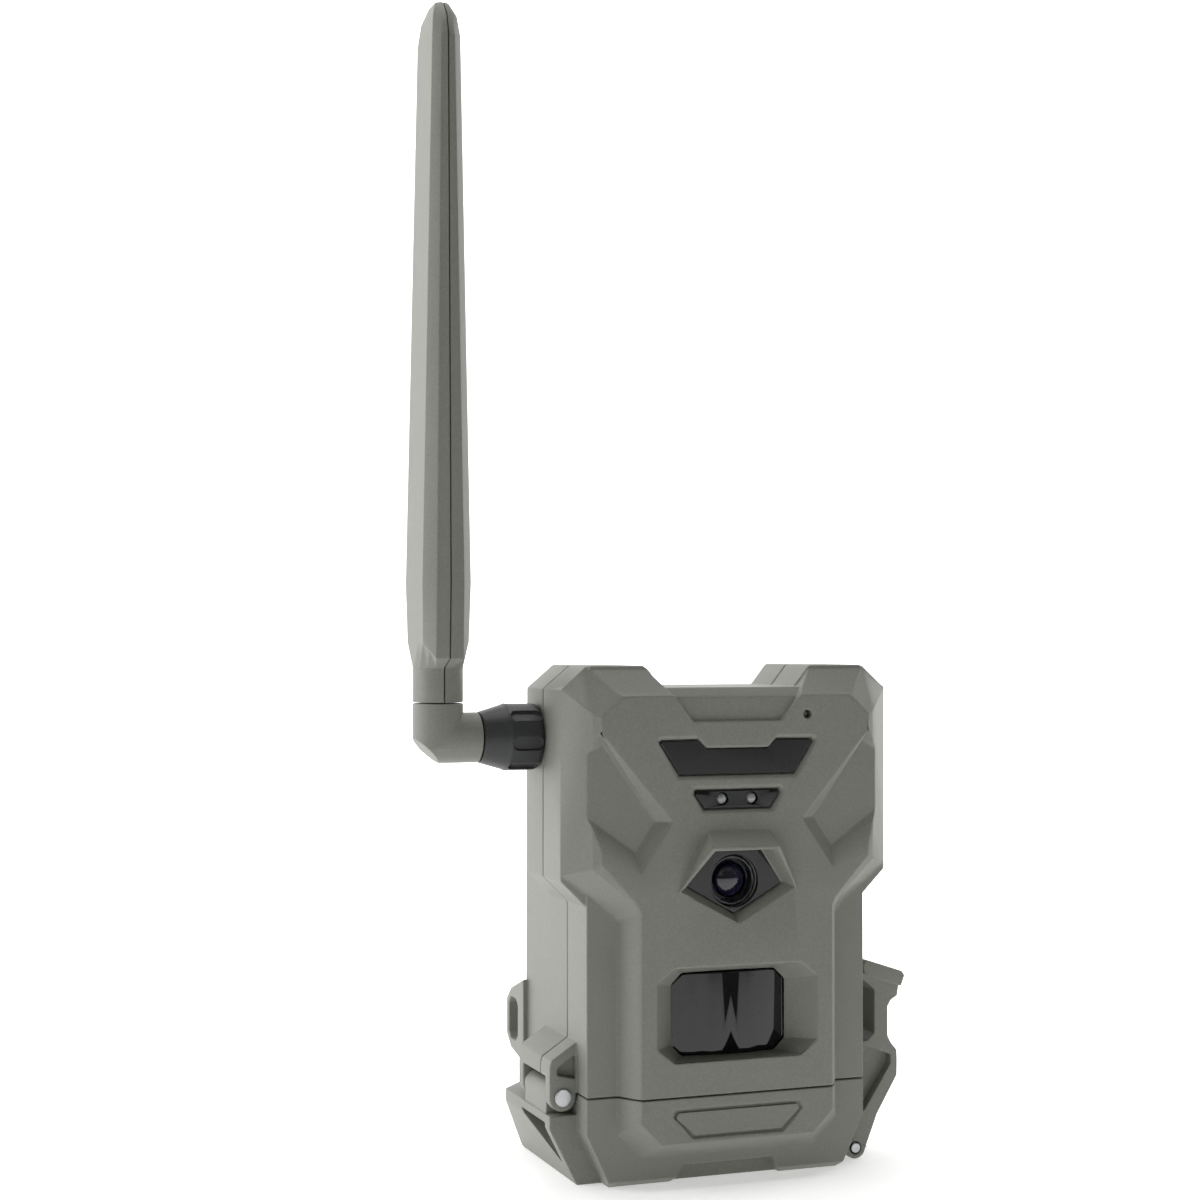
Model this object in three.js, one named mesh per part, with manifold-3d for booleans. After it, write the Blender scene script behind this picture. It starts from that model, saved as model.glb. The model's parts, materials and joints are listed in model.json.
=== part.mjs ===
// Trail camera with a side antenna, a bottom battery door, an over-centre latch and a tree plate.
// Millimetres. +X to the object's left as it faces you, +Y to the rear, +Z up, origin on the base.
import * as THREE from "three";
import { mergeVertices } from "three/addons/utils/BufferGeometryUtils.js";
import Module from "manifold-3d";

const wasm = await Module();
wasm.setup();

// Driving sizes

const FRONT_Y = -32; // plane of the raised front panel
const FLANGE_Y = -25.2; // plane that the panel stands on
const PARTING_Y = -10; // front housing meets rear housing
const SHOULDER_BACK_Y = 4; // back of the wide shoulders
const BACK_Y = 25.5; // back wall of the housing
const TREE_PLATE_Y = 32; // back of the tree plate
const LUG_BACK_Y = 39; // back of the strap lugs

const HALF_WIDTH = 40.2; // of the lower body
const SHOULDER_HALF = 47.1;
const FOOT_HALF = 33.3; // where the lower corners are cut off
const FOOT_Z = 14.6;
const SEAM_Z = 24.1; // door meets housing
const SHOULDER_Z = 73.9;
const EAVE_Z = 130.7; // where the top corners are cut off
const TOP_Z = 136.9;
const TOP_HALF = 39.7;
const VALLEY_Z = 131.2; // floor of the channel in the top
const VALLEY_HALF = 19.7;
const VALLEY_MOUTH_HALF = 24.2;

const WALL = 2.2;
const GAP = 0.3; // between pieces that touch
const RUNNING = 0.35; // round a turning pin

const PANEL_HALF = 28; // lower panel
const PANEL_UPPER_HALF = 39;
const PANEL_BASE_Z = 12.1;
const PANEL_TOP_Z = 129;
const PANEL_BEVEL = 4.2; // width of the bevel round the lower panel

const HINGE_X = -44.1;
const HINGE_Z = 23.3;
const HINGE_FRONT_Y = -17.5;
const HINGE_BACK_Y = 8.5;
const EAR_THICK = 3.7;
const BARREL_R = 3.5;
const HINGE_PIN_R = 1.5;

const LATCH_X = 41.7;
const LATCH_Z = 3.1;
const LATCH_FRONT_Y = -17.5;
const LATCH_WIDTH = 24; // of the lever along Y
const LATCH_PIN_R = 1.4;
const LATCH_EYE_R = 3.05;

const ANTENNA_Y = -4;
const ANTENNA_Z = 117.75;
const ANTENNA_X = -74.5; // axis of the blade
const NUT_R = 9;
const NUT_END_R = 6.8;
const NUT_LENGTH = 16;
const STEM_R = 6.7;
const BLADE_SEAM_Z = 127.1;
const BLADE_TOP_Z = 312.5;

const LENS_Z = 79.8;
const LENS_PLATE_Y = -29;
const SENSOR_BAY_DEPTH = 7.4; // of the motion sensor's window
const CELL_R = 7.05; // AA cell
const CELL_LENGTH = 50.2;
const CELL_PITCH = 14.7;
const CELLS_ACROSS = 4;
const CELLS_DEEP = 2;

// Finishes

const OLIVE = { color: 0x74756c, roughness: 0.62, metalness: 0 };
const CHARCOAL = { color: 0x2c2d2e, roughness: 0.5, metalness: 0 };
const GLOSS_BLACK = { color: 0x08080a, roughness: 0.08, metalness: 0 };
const SMOKED = { color: 0x121214, roughness: 0.12, metalness: 0 };
const STEEL = { color: 0xb4b6b8, roughness: 0.3, metalness: 1 };
const BRASS = { color: 0xb99a55, roughness: 0.35, metalness: 1 };
const BOARD = { color: 0x1f4a2c, roughness: 0.5, metalness: 0 };
const RUBBER = { color: 0x1a1b1b, roughness: 0.8, metalness: 0 };
const LINER = { color: 0x3c3d3b, roughness: 0.6, metalness: 0 };
const CLEAR = { color: 0xd8dcdf, roughness: 0.1, metalness: 0 };
const CELL_WRAP = { color: 0x9a9da0, roughness: 0.35, metalness: 0.4 };

// Solids

// A three.js geometry as a solid that can be joined and cut.
function solid(geometry) {
  const bare = geometry.index ? geometry.toNonIndexed() : geometry.clone();
  bare.deleteAttribute("normal");
  bare.deleteAttribute("uv");
  const merged = mergeVertices(bare, 1e-4);
  const mesh = new wasm.Mesh({
    numProp: 3,
    vertProperties: new Float32Array(merged.attributes.position.array),
    triVerts: new Uint32Array(merged.index.array),
  });
  return new wasm.Manifold(mesh);
}

// A solid as a three.js geometry again.
function geometryOf(body) {
  const mesh = body.getMesh();
  const points = new Float32Array(mesh.numVert * 3);
  for (let i = 0; i < mesh.numVert; i++) {
    const at = i * mesh.numProp;
    points.set(mesh.vertProperties.subarray(at, at + 3), i * 3);
  }
  const geometry = new THREE.BufferGeometry();
  geometry.setAttribute("position", new THREE.BufferAttribute(points, 3));
  geometry.setIndex(new THREE.BufferAttribute(new Uint32Array(mesh.triVerts), 1));
  return geometry;
}

const join = (...bodies) => bodies.reduce((a, b) => a.add(b));
const cut = (body, ...tools) => tools.reduce((a, b) => a.subtract(b), body);

const ALONG_X = new THREE.Matrix4().makeBasis(
  new THREE.Vector3(0, 1, 0), new THREE.Vector3(0, 0, 1), new THREE.Vector3(1, 0, 0));
const ALONG_Y = new THREE.Matrix4().makeBasis(
  new THREE.Vector3(1, 0, 0), new THREE.Vector3(0, 0, 1), new THREE.Vector3(0, -1, 0));

function extruded(points, depth) {
  const shape = new THREE.Shape(points.map(([a, b]) => new THREE.Vector2(a, b)));
  return new THREE.ExtrudeGeometry(shape, { depth, bevelEnabled: false, curveSegments: 12 });
}

// Outline in X and Z, running from y0 back to y1.
function prismY(points, y0, y1) {
  return solid(extruded(points, y1 - y0).applyMatrix4(ALONG_Y).translate(0, y1, 0));
}

// Outline in Y and Z, running from x0 to x1.
function prismX(points, x0, x1) {
  return solid(extruded(points, x1 - x0).applyMatrix4(ALONG_X).translate(x0, 0, 0));
}

// Outline in X and Y, running from z0 up to z1.
function prismZ(points, z0, z1) {
  return solid(extruded(points, z1 - z0).translate(0, 0, z0));
}

function block(x0, x1, y0, y1, z0, z1) {
  const box = new THREE.BoxGeometry(x1 - x0, y1 - y0, z1 - z0);
  return solid(box.translate((x0 + x1) / 2, (y0 + y1) / 2, (z0 + z1) / 2));
}

function cylinder(axis, x, y, z, radius, length, segments = 28, endRadius = radius) {
  const round = new THREE.CylinderGeometry(endRadius, radius, length, segments);
  if (axis === "x") round.rotateZ(-Math.PI / 2);
  if (axis === "z") round.rotateX(Math.PI / 2);
  return solid(round.translate(x, y, z));
}

// A closed skin through rings that have the same number of points.
function loft(rings) {
  const count = rings[0].length;
  const position = rings.flat(2);
  const index = [];
  for (let r = 0; r + 1 < rings.length; r++) {
    for (let i = 0; i < count; i++) {
      const a = r * count + i;
      const b = r * count + ((i + 1) % count);
      index.push(a, b, b + count, a, b + count, a + count);
    }
  }
  const last = (rings.length - 1) * count;
  for (const [start, facing] of [[0, -1], [last, 1]]) {
    for (const [a, b, c] of capTriangles(rings[start / count])) {
      index.push(start + a, start + (facing < 0 ? c : b), start + (facing < 0 ? b : c));
    }
  }
  const geometry = new THREE.BufferGeometry();
  geometry.setAttribute("position", new THREE.Float32BufferAttribute(position, 3));
  geometry.setIndex(index);
  return facingOut(geometry);
}

// The triangles of a ring, in the ring's own direction.
function capTriangles(ring) {
  const spread = [0, 1, 2].map((k) => {
    const values = ring.map((p) => p[k]);
    return Math.max(...values) - Math.min(...values);
  });
  const flat = spread.indexOf(Math.min(...spread));
  const [u, v] = [0, 1, 2].filter((k) => k !== flat);
  const contour = ring.map((p) => new THREE.Vector2(p[u], p[v]));
  const turned = THREE.ShapeUtils.isClockWise(contour);
  const faces = THREE.ShapeUtils.triangulateShape(contour, []);
  const ordered = faces.map(([a, b, c]) => {
    const area = (contour[b].x - contour[a].x) * (contour[c].y - contour[a].y)
      - (contour[c].x - contour[a].x) * (contour[b].y - contour[a].y);
    return area > 0 === turned ? [a, c, b] : [a, b, c];
  });
  return ordered;
}

function facingOut(geometry) {
  const body = solid(geometry);
  if (body.volume() > 0) return body;
  const index = geometry.index.array;
  for (let i = 0; i < index.length; i += 3) {
    [index[i + 1], index[i + 2]] = [index[i + 2], index[i + 1]];
  }
  return solid(geometry);
}

// The right half of an outline, from the bottom up, closed by its mirror image.
function mirrored(half) {
  const left = half.map(([x, z]) => [-x, z]).reverse();
  return [...half, ...left];
}

const atY = (outline, y) => outline.map(([x, z]) => [x, y, z]);
const atZ = (outline, z) => outline.map(([x, y]) => [x, y, z]);

// Outlines, each a right half from the bottom up

const CORE = [
  [FOOT_HALF, 0], [HALF_WIDTH, FOOT_Z], [HALF_WIDTH, TOP_Z - 0.6], [TOP_HALF - 0.6, TOP_Z],
  [VALLEY_MOUTH_HALF, TOP_Z], [VALLEY_HALF, VALLEY_Z],
];
const REAR_TOP_Z = VALLEY_Z - 0.6; // behind the shoulders the housing is lower
const REAR_CHAMFER = 5.5;
const REAR_CORE = [
  [FOOT_HALF, 0], [HALF_WIDTH, FOOT_Z], [HALF_WIDTH, REAR_TOP_Z - REAR_CHAMFER],
  [HALF_WIDTH - REAR_CHAMFER, REAR_TOP_Z],
];
const SHOULDER_RISE = SHOULDER_HALF - HALF_WIDTH;
const SHOULDERS = [
  [HALF_WIDTH, SHOULDER_Z], [SHOULDER_HALF, SHOULDER_Z + SHOULDER_RISE],
  [SHOULDER_HALF, EAVE_Z], [TOP_HALF, TOP_Z],
  [VALLEY_MOUTH_HALF, TOP_Z], [VALLEY_HALF, VALLEY_Z],
];

// The raised front panel at three depths: where it leaves the flange, its shoulder and its face.
function panelOutline(low, high, bottom, top, corner, stepLow, stepHigh) {
  return mirrored([
    [low - corner, bottom], [low, bottom + corner], [low, stepLow - 2], [low + 1.2, stepLow],
    [high, stepHigh], [high, top - corner * 0.9], [high - corner, top],
  ]);
}

const PANEL_RINGS = [
  [FLANGE_Y + 0.8, PANEL_HALF + PANEL_BEVEL, SHOULDER_HALF, 7, TOP_Z, 7, 71.5, 82.6],
  [FRONT_Y + 1.3, PANEL_HALF + 0.6, PANEL_UPPER_HALF + 1.4, 11.2, PANEL_TOP_Z + 1, 6.2, 74, 84.4],
  [FRONT_Y, PANEL_HALF - 0.5, PANEL_UPPER_HALF - 0.6, PANEL_BASE_Z, PANEL_TOP_Z, 5.8, 75, 85.6],
];

const LEDGE_Z = 122.2; // foot of the recess that leads into the top channel
const LEDGE_HALF = 12.65;
const LEDGE_DEPTH = 1.3;
const VALLEY_CUT = mirrored([[LEDGE_HALF, LEDGE_Z], [VALLEY_MOUTH_HALF + 1.1, TOP_Z + 1.2]]);

const CHEEK_DEPTH = 2.5;
const CHEEK_EDGE = [[39, 120.2], [18.6, 96.1], [27.5, 83.1], [54, 97.5], [54, 112], [46, 113.5]];
const CHEEK_FLOOR = [[37.4, 116.6], [22.9, 96.2], [28.3, 88.1], [54, 106.6], [54, 111], [46, 112.3]];

const LED_WINDOW = mirrored([[16.6, 108.1], [22.2, 116.6], [21.6, 117.4], [11.3, 117.5], [8.7, 115.1]]);
const LAMP_WINDOW = mirrored([[9.6, 99.1], [12.3, 102.9], [12.1, 104.2]]);
const BAY_EDGE = mirrored([[18.1, 33.2], [22.85, 36.9], [22.85, 53.9], [18.1, 57.6]]);
const BAY_THROAT = mirrored([[13.2, 33.6], [16.3, 36.6], [16.3, 52.4], [13.2, 55.4]]);
const STATUS_HOLE = { x: 20.3, z: 123.9, r: 1.15 };

// Lens recess, from its lowest point round the right side to the top
const RECESS_EDGE = [[0, 68.9], [16.4, 77.7], [8.6, 88.6]];
const RECESS_FLOOR = [[0, 71], [13.9, 78.8], [7.7, 88.3]];
const fiveSided = (half) => [...half, ...half.slice(1).map(([x, z]) => [-x, z]).reverse()];

// An outline grown by the same amount on every side of its middle.
function grown(points, by) {
  const xs = points.map((p) => p[0]);
  const zs = points.map((p) => p[1]);
  const middle = [xs, zs].map((v) => (Math.max(...v) + Math.min(...v)) / 2);
  const half = [xs, zs].map((v) => (Math.max(...v) - Math.min(...v)) / 2);
  return points.map((p) => p.map((v, k) => middle[k] + (v - middle[k]) * (1 + by / half[k])));
}

const flippedX = (points) => points.map(([x, z]) => [-x, z]);

// The outer body, before it is split into door, front housing and rear housing

const BASE_FRONT_Y = -22.3;
const BASE_CHAMFER = 1.8;
const TREE_PLATE_HALF = 32;
const TREE_PLATE_Z = 90;
const FLANK_X = 47.8;
const FLANK_TOP_Z = 18.6;

function outerBody() {
  const core = join(
    prismY(mirrored(CORE), FLANGE_Y, SHOULDER_BACK_Y), prismY(mirrored(REAR_CORE), 0, BACK_Y));
  const shoulders = prismY(mirrored(SHOULDERS), FLANGE_Y + 0.8, SHOULDER_BACK_Y);
  const panel = loft(PANEL_RINGS.map(([y, ...sizes]) => atY(panelOutline(...sizes), y)));
  const channelSkin = prismX([
    [FLANGE_Y, 100], [FRONT_Y + LEDGE_DEPTH, 100], [FRONT_Y + LEDGE_DEPTH, PANEL_TOP_Z - 0.4],
    [FRONT_Y + 3.6, VALLEY_Z], [FLANGE_Y, VALLEY_Z],
  ], -30, 30);
  const channel = prismY(VALLEY_CUT, FRONT_Y - 5, FLANGE_Y + 2);
  const treePlate = prismX([
    [BACK_Y - 1, 5.1], [TREE_PLATE_Y - 1.4, 5.1], [TREE_PLATE_Y, 8], [TREE_PLATE_Y, TREE_PLATE_Z - 6],
    [BACK_Y - 1, TREE_PLATE_Z],
  ], -TREE_PLATE_HALF, TREE_PLATE_HALF);
  const basePlate = prismX([
    [BACK_Y - 6, 0], [BACK_Y - 2, 0], [TREE_PLATE_Y, 5.1], [BACK_Y - 6, 5.1],
  ], -TREE_PLATE_HALF, TREE_PLATE_HALF);
  const body = join(
    cut(panel, channel), channelSkin.intersect(channel), core, shoulders, treePlate, basePlate);
  const frontChamfer = prismX([
    [FLANGE_Y - 8, -1], [BASE_FRONT_Y, -1], [BASE_FRONT_Y, 0], [FLANGE_Y, BASE_CHAMFER],
    [FLANGE_Y - 8, BASE_CHAMFER],
  ], -60, 60);
  return cut(body, frontChamfer);
}

// Shapes cut into or built onto the front

function frontCuts() {
  const cheek = (flip) => loft([FRONT_Y - 4, FRONT_Y, FRONT_Y + CHEEK_DEPTH].map((y, i) =>
    atY(flip(i < 2 ? CHEEK_EDGE : CHEEK_FLOOR), y)));
  const windowCut = (outline, depth) => loft([
    atY(grown(outline, 1.5), FRONT_Y - 0.6), atY(grown(outline, 0.1), FRONT_Y + 0.9),
    atY(grown(outline, 0.1), FRONT_Y + depth),
  ]);
  const bay = loft([
    atY(grown(BAY_EDGE, 0.6), FRONT_Y - 0.7), atY(BAY_EDGE, FRONT_Y + 0.4),
    atY(BAY_THROAT, FRONT_Y + SENSOR_BAY_DEPTH),
  ]);
  return [
    cheek((p) => p), cheek(flippedX), windowCut(LED_WINDOW, 1.9), windowCut(LAMP_WINDOW, 1.9), bay,
    cylinder("y", STATUS_HOLE.x, FRONT_Y, STATUS_HOLE.z, STATUS_HOLE.r, 14, 16),
  ];
}

const HOOD_LIP_Y = -37.2;

// A visor over the lens: it stands proud at the top and runs out flush at its two lower tips.
function lensHood() {
  const base = [[17.2, 76.6], [17.3, 77.9], [8.6, 94]];
  const lip = [[17, 76.7], [17.1, 77.8], [9.6, 89.7]];
  const closed = (half) => [...half, ...half.map(([x, z]) => [-x, z]).reverse()];
  // Each lip point lies on the plane that leans out from the tips to the top edge.
  const lean = ([x, z]) => [x, FRONT_Y - 0.2 + ((z - 77.8) * (HOOD_LIP_Y - FRONT_Y)) / (89.7 - 77.8), z];
  const visor = loft([atY(closed(base), FRONT_Y + 1), closed(lip).map(lean)]);
  return visor;
}

function lensRecess() {
  const edge = fiveSided(RECESS_EDGE);
  return loft([
    atY(edge, HOOD_LIP_Y - 1), atY(edge, FRONT_Y), atY(fiveSided(RECESS_FLOOR), LENS_PLATE_Y),
  ]);
}

const nodes = [];

function part(name, body, finish) {
  const mesh = new THREE.Mesh(geometryOf(body), new THREE.MeshStandardMaterial(finish));
  mesh.name = name;
  nodes.push(mesh);
  return body;
}

const FAR = 200;
const above = (z) => block(-FAR, FAR, -FAR, FAR, z, z + 2 * FAR);
const behind = (y) => block(-FAR, FAR, y, y + 2 * FAR, -FAR, 2 * FAR);
const inFront = (y) => block(-FAR, FAR, y - 2 * FAR, y, -FAR, 2 * FAR);

const outer = outerBody();

// Cavity of the two housings: the outline less the wall, closed at the top and open below.
const CAVITY_FLOOR_Z = SEAM_Z + WALL;
const coreCavity = prismY(mirrored([
  [HALF_WIDTH - WALL, CAVITY_FLOOR_Z], [HALF_WIDTH - WALL, REAR_TOP_Z - REAR_CHAMFER - 1],
  [HALF_WIDTH - REAR_CHAMFER - 1, REAR_TOP_Z - WALL],
]), FLANGE_Y + WALL, BACK_Y - WALL);
const shoulderCavity = prismY(mirrored([
  [HALF_WIDTH - WALL, SHOULDER_Z + 1], [SHOULDER_HALF - WALL, SHOULDER_Z + SHOULDER_RISE + 0.6],
  [SHOULDER_HALF - WALL, EAVE_Z - 1], [TOP_HALF - WALL, TOP_Z - WALL],
  [VALLEY_MOUTH_HALF + 1, TOP_Z - WALL], [VALLEY_HALF + 1, VALLEY_Z - WALL],
]), FLANGE_Y + WALL + 0.8, SHOULDER_BACK_Y - WALL);
const faceCavity = prismY(mirrored([
  [25, CAVITY_FLOOR_Z], [25, 73], [35.8, 84.5], [35.8, 123], [33, 127],
]), FRONT_Y + CHEEK_DEPTH + WALL, FLANGE_Y + WALL);
const cavity = join(coreCavity, shoulderCavity, faceCavity);

// Hinge at the left, latch lugs at the right

const BRACKET = [
  [-38.5, 39], [-HALF_WIDTH, 37.8], [-47.3, 33.1], [-FLANK_X, 31.5], [-FLANK_X, 28.5], [-38.5, 28.5],
];
const EAR_R = FLANK_X + HINGE_X;

function hingeEar(y0) {
  const plate = block(-FLANK_X, -38.8, y0, y0 + EAR_THICK, SEAM_Z + 0.3, 30);
  const toe = block(-FLANK_X, HINGE_X + EAR_R, y0, y0 + EAR_THICK, HINGE_Z, 28);
  const round = cylinder("y", HINGE_X, y0 + EAR_THICK / 2, HINGE_Z, EAR_R, EAR_THICK, 32);
  const bore = cylinder("y", HINGE_X, y0 + EAR_THICK / 2, HINGE_Z, HINGE_PIN_R + RUNNING, EAR_THICK + 2);
  return cut(join(plate, toe, round), bore);
}

const REAR_EAR_Y = HINGE_BACK_Y - EAR_THICK;
const bracket = prismY(BRACKET, HINGE_FRONT_Y, HINGE_BACK_Y);
const earPocket = prismY([[-40.6, 34.2], [-45.6, 31], [-45.6, 29.2], [-40.6, 28]],
  HINGE_FRONT_Y - 1, HINGE_FRONT_Y + 2.4);

// Front housing

const LENS_BORE_R = 6.95;
const sleeve = loft([
  atY(grown(BAY_EDGE, 1.9), FRONT_Y + 2), atY(grown(BAY_THROAT, 3), FRONT_Y + SENSOR_BAY_DEPTH),
]);
const aperture = (outline, by) => prismY(grown(outline, by), FRONT_Y + 1, FRONT_Y + 9);
const BACKING_SCALE = 1.25; // of the pad behind the lens recess, against the recess floor
const lensBacking = prismY(
  fiveSided(RECESS_FLOOR).map(([x, z]) => [x * BACKING_SCALE, LENS_Z + (z - LENS_Z) * BACKING_SCALE]),
  FRONT_Y + 2, LENS_PLATE_Y + 3.4);
const BOARD_Y = -12; // front of the main board
const BOARD_THICK = 1.6;
const BOARD_BOSSES = [[-32, 34], [32, 34], [-32, 111], [32, 111]];
const BOSS_R = 2.8;
const UPPER_BACK_Y = FRONT_Y + CHEEK_DEPTH + 1; // inside the thick of the upper face
const boardBosses = BOARD_BOSSES.map(([x, z]) => {
  const y0 = z > SHOULDER_Z ? UPPER_BACK_Y : FLANGE_Y + 0.6;
  return cylinder("y", x, (BOARD_Y - GAP + y0) / 2, z, BOSS_R, BOARD_Y - GAP - y0, 16);
});
const SCREW_R = 1.4;
const boardScrewHoles = BOARD_BOSSES.map(([x, z]) =>
  cylinder("y", x, BOARD_Y - 3.5, z, SCREW_R + 0.1, 8, 12));
const LED_BOARD_Y = -23.4;
const ledBosses = [-26, 26].map((x) =>
  cylinder("y", x, (LED_BOARD_Y - GAP + FRONT_Y + 3) / 2, 112.5, 2.2, LED_BOARD_Y - GAP - FRONT_Y - 3, 14));

const KEYS = [["power_button", 14], ["mode_button", 25]];
const KEY_Y = -17.2;
const KEY_R = 2.6;
const keyHoles = KEYS.map(([, x]) => cylinder("z", x, KEY_Y, SEAM_Z + 1, KEY_R + RUNNING, 6, 24));
const CARD_MOUTH = block(-24, -10, -17, -12, SEAM_Z - 1, CAVITY_FLOOR_Z + 1);
const upperFront = outer.intersect(above(SEAM_Z + GAP / 2)).intersect(inFront(PARTING_Y));
const frontShell = join(
  cut(upperFront, cavity), ...boardBosses, ...ledBosses, sleeve, lensHood(), lensBacking,
  cut(bracket.intersect(inFront(PARTING_Y)), earPocket), cut(hingeEar(HINGE_FRONT_Y), earPocket),
);
part("front_housing", cut(
  frontShell, ...frontCuts(), lensRecess(),
  prismY(grown(fiveSided(RECESS_FLOOR), 0.15), LENS_PLATE_Y - 0.2, LENS_PLATE_Y + 1.6),
  aperture(LED_WINDOW, -1.6), aperture(LAMP_WINDOW, -0.7),
  cylinder("y", 0, LENS_PLATE_Y + 3, LENS_Z, LENS_BORE_R, 9, 36), ...boardScrewHoles, ...keyHoles, CARD_MOUTH,
), OLIVE);

// Rear housing

const PARTING_GAP = 0.3;
const upperRear = outer.intersect(above(SEAM_Z + GAP / 2)).intersect(behind(PARTING_Y + PARTING_GAP));
const LUG_X = 39.5;
const LUG_THICK = 4.4;
const LUG_LOW_Z = 27;
const LUG_HIGH_Z = 44;

// A strap lug stands behind each rear edge; the strap passes through it along X.
function strapLug(side) {
  const x0 = side * LUG_X - LUG_THICK / 2;
  const plate = prismX([
    [BACK_Y - 2, LUG_LOW_Z - 2.4], [LUG_BACK_Y - 4, LUG_LOW_Z], [LUG_BACK_Y, LUG_LOW_Z + 3.5],
    [LUG_BACK_Y, LUG_HIGH_Z - 3.5], [LUG_BACK_Y - 4, LUG_HIGH_Z], [BACK_Y - 2, LUG_HIGH_Z + 4],
  ], x0, x0 + LUG_THICK);
  const slot = prismX([
    [BACK_Y + 3.2, LUG_LOW_Z + 4.4], [BACK_Y + 5, LUG_LOW_Z + 2.6], [LUG_BACK_Y - 4, LUG_LOW_Z + 2.6],
    [LUG_BACK_Y - 2.4, LUG_LOW_Z + 4.4], [LUG_BACK_Y - 2.4, LUG_HIGH_Z - 4.4],
    [LUG_BACK_Y - 4, LUG_HIGH_Z - 2.6], [BACK_Y + 5, LUG_HIGH_Z - 2.6], [BACK_Y + 3.2, LUG_HIGH_Z - 4.4],
  ], x0 - 1, x0 + LUG_THICK + 1);
  return cut(plate, slot);
}

const CATCH_Z = 41;
const CATCH_HEIGHT = 12;
const CATCH_PROUD = 0.6; // clears the lever's head, which closes against it
const catchLedge = prismY([
  [HALF_WIDTH - 1, CATCH_Z - 5], [HALF_WIDTH + CATCH_PROUD, CATCH_Z],
  [HALF_WIDTH + CATCH_PROUD, CATCH_Z + CATCH_HEIGHT - 0.5], [HALF_WIDTH - 1, CATCH_Z + CATCH_HEIGHT],
], PARTING_Y + 1, 5);
const SOCKET_HOLE_R = 4.2;
const antennaHole = cylinder("x", -SHOULDER_HALF + 1, ANTENNA_Y, ANTENNA_Z, SOCKET_HOLE_R, 12, 28);
const JACK = { y: 14, z: 104, r: 4 };
const jackHole = cylinder("x", HALF_WIDTH - 1, JACK.y, JACK.z, JACK.r, 8, 24);
const INSERT = { z: 52, r: 4.6, length: 8.4 };
const insertHole = cylinder(
  "y", 0, TREE_PLATE_Y - INSERT.length / 2, INSERT.z, INSERT.r, INSERT.length + 0.6, 28);
const HOUSING_SCREWS = [[-34, 90], [34, 90], [-34, 124], [34, 124]];
const SCREW_HEAD_R = 2.7;
const screwHoles = HOUSING_SCREWS.flatMap(([x, z]) => [
  cylinder("y", x, BACK_Y - 1.4, z, SCREW_HEAD_R + 0.3, 4, 18),
  cylinder("y", x, BACK_Y - 14, z, SCREW_R + 0.3, 26, 12),
]);
const screwPosts = HOUSING_SCREWS.map(([x, z]) =>
  cylinder("y", x, BACK_Y - 7, z, SCREW_HEAD_R + 1.5, 12, 18));
const TREE_HOLLOW_DEPTH = 1.2; // in the tree plate, above its insert
const treeHollow = block(
  -TREE_PLATE_HALF + 4, TREE_PLATE_HALF - 4, TREE_PLATE_Y - TREE_HOLLOW_DEPTH, TREE_PLATE_Y + 2,
  INSERT.z + 12, TREE_PLATE_Z - 4);

const rearShell = join(
  cut(upperRear, cavity, treeHollow),
  strapLug(-1), strapLug(1), ...screwPosts,
  catchLedge, bracket.intersect(behind(PARTING_Y + PARTING_GAP)), hingeEar(REAR_EAR_Y),
);
const TRAY_HALF = 30.6;
const TRAY_FRONT_Y = -8.6;
const TRAY_BACK_Y = 22.4;
const TRAY_CLEAR = 0.5;
const trayMouth = block(-TRAY_HALF - TRAY_CLEAR, TRAY_HALF + TRAY_CLEAR, TRAY_FRONT_Y - TRAY_CLEAR,
  TRAY_BACK_Y + TRAY_CLEAR, SEAM_Z - 2, CAVITY_FLOOR_Z + 1);
part("rear_housing", cut(rearShell, antennaHole, jackHole, insertHole, trayMouth, ...screwHoles), OLIVE);

// Battery door: the whole foot of the camera, hinged at the left

const DOOR_TOP_Z = SEAM_Z - GAP / 2;
const DOOR_FLOOR = 2.4;
const NOTCH = mirrored([[16.2, -1], [13, 4.9]]);
const NOTCH_BACK_Y = FLANGE_Y + 4.6;
const BADGE = mirrored([[12.8, 13.6], [18.3, 19.1], [17.5, 20.7]]);
const BADGE_DEPTH = 0.9;
const FLANK_BACK_Y = BACK_Y + 3;

// The slanted lower flank that stands out beside the door, without its running clearances.
function flank(side, y0, y1) {
  const section = [
    [side * (FOOT_HALF - 1), 0], [side * HALF_WIDTH, 0], [side * FLANK_X, 15.2],
    [side * FLANK_X, FLANK_TOP_Z], [side * (HALF_WIDTH - 1), FLANK_TOP_Z], [side * (FOOT_HALF - 1), 5],
  ];
  const tail = prismZ([
    [side * 30, y0 - 1], [side * (FLANK_X + 1), y0 - 1], [side * (FLANK_X + 1), y1 - 9],
    [side * (FLANK_X - 7), y1], [side * 30, y1],
  ], -1, FLANK_TOP_Z + 1);
  return prismY(section, y0, y1).intersect(tail);
}

const LEVER_BACK_Y = LATCH_FRONT_Y + LATCH_WIDTH;
const LEVER_FORK = 4.2; // each eye's thickness along Y
const lugY0 = LATCH_FRONT_Y + LEVER_FORK + RUNNING;
const lugY1 = LEVER_BACK_Y - LEVER_FORK - RUNNING;
const latchLug = join(
  cylinder("y", LATCH_X, (lugY0 + lugY1) / 2, LATCH_Z + 0.6, LATCH_EYE_R - 0.3, lugY1 - lugY0, 28),
  prismY([
    [FOOT_HALF - 1, 1], [LATCH_X, 0.7], [LATCH_X, LATCH_Z + 3.4], [HALF_WIDTH - 1, FOOT_Z - 2],
    [FOOT_HALF - 1, FOOT_Z - 2],
  ], lugY0, lugY1),
);
const latchBore = cylinder("y", LATCH_X, (lugY0 + lugY1) / 2, LATCH_Z, LATCH_PIN_R + RUNNING, 40, 20);

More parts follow.
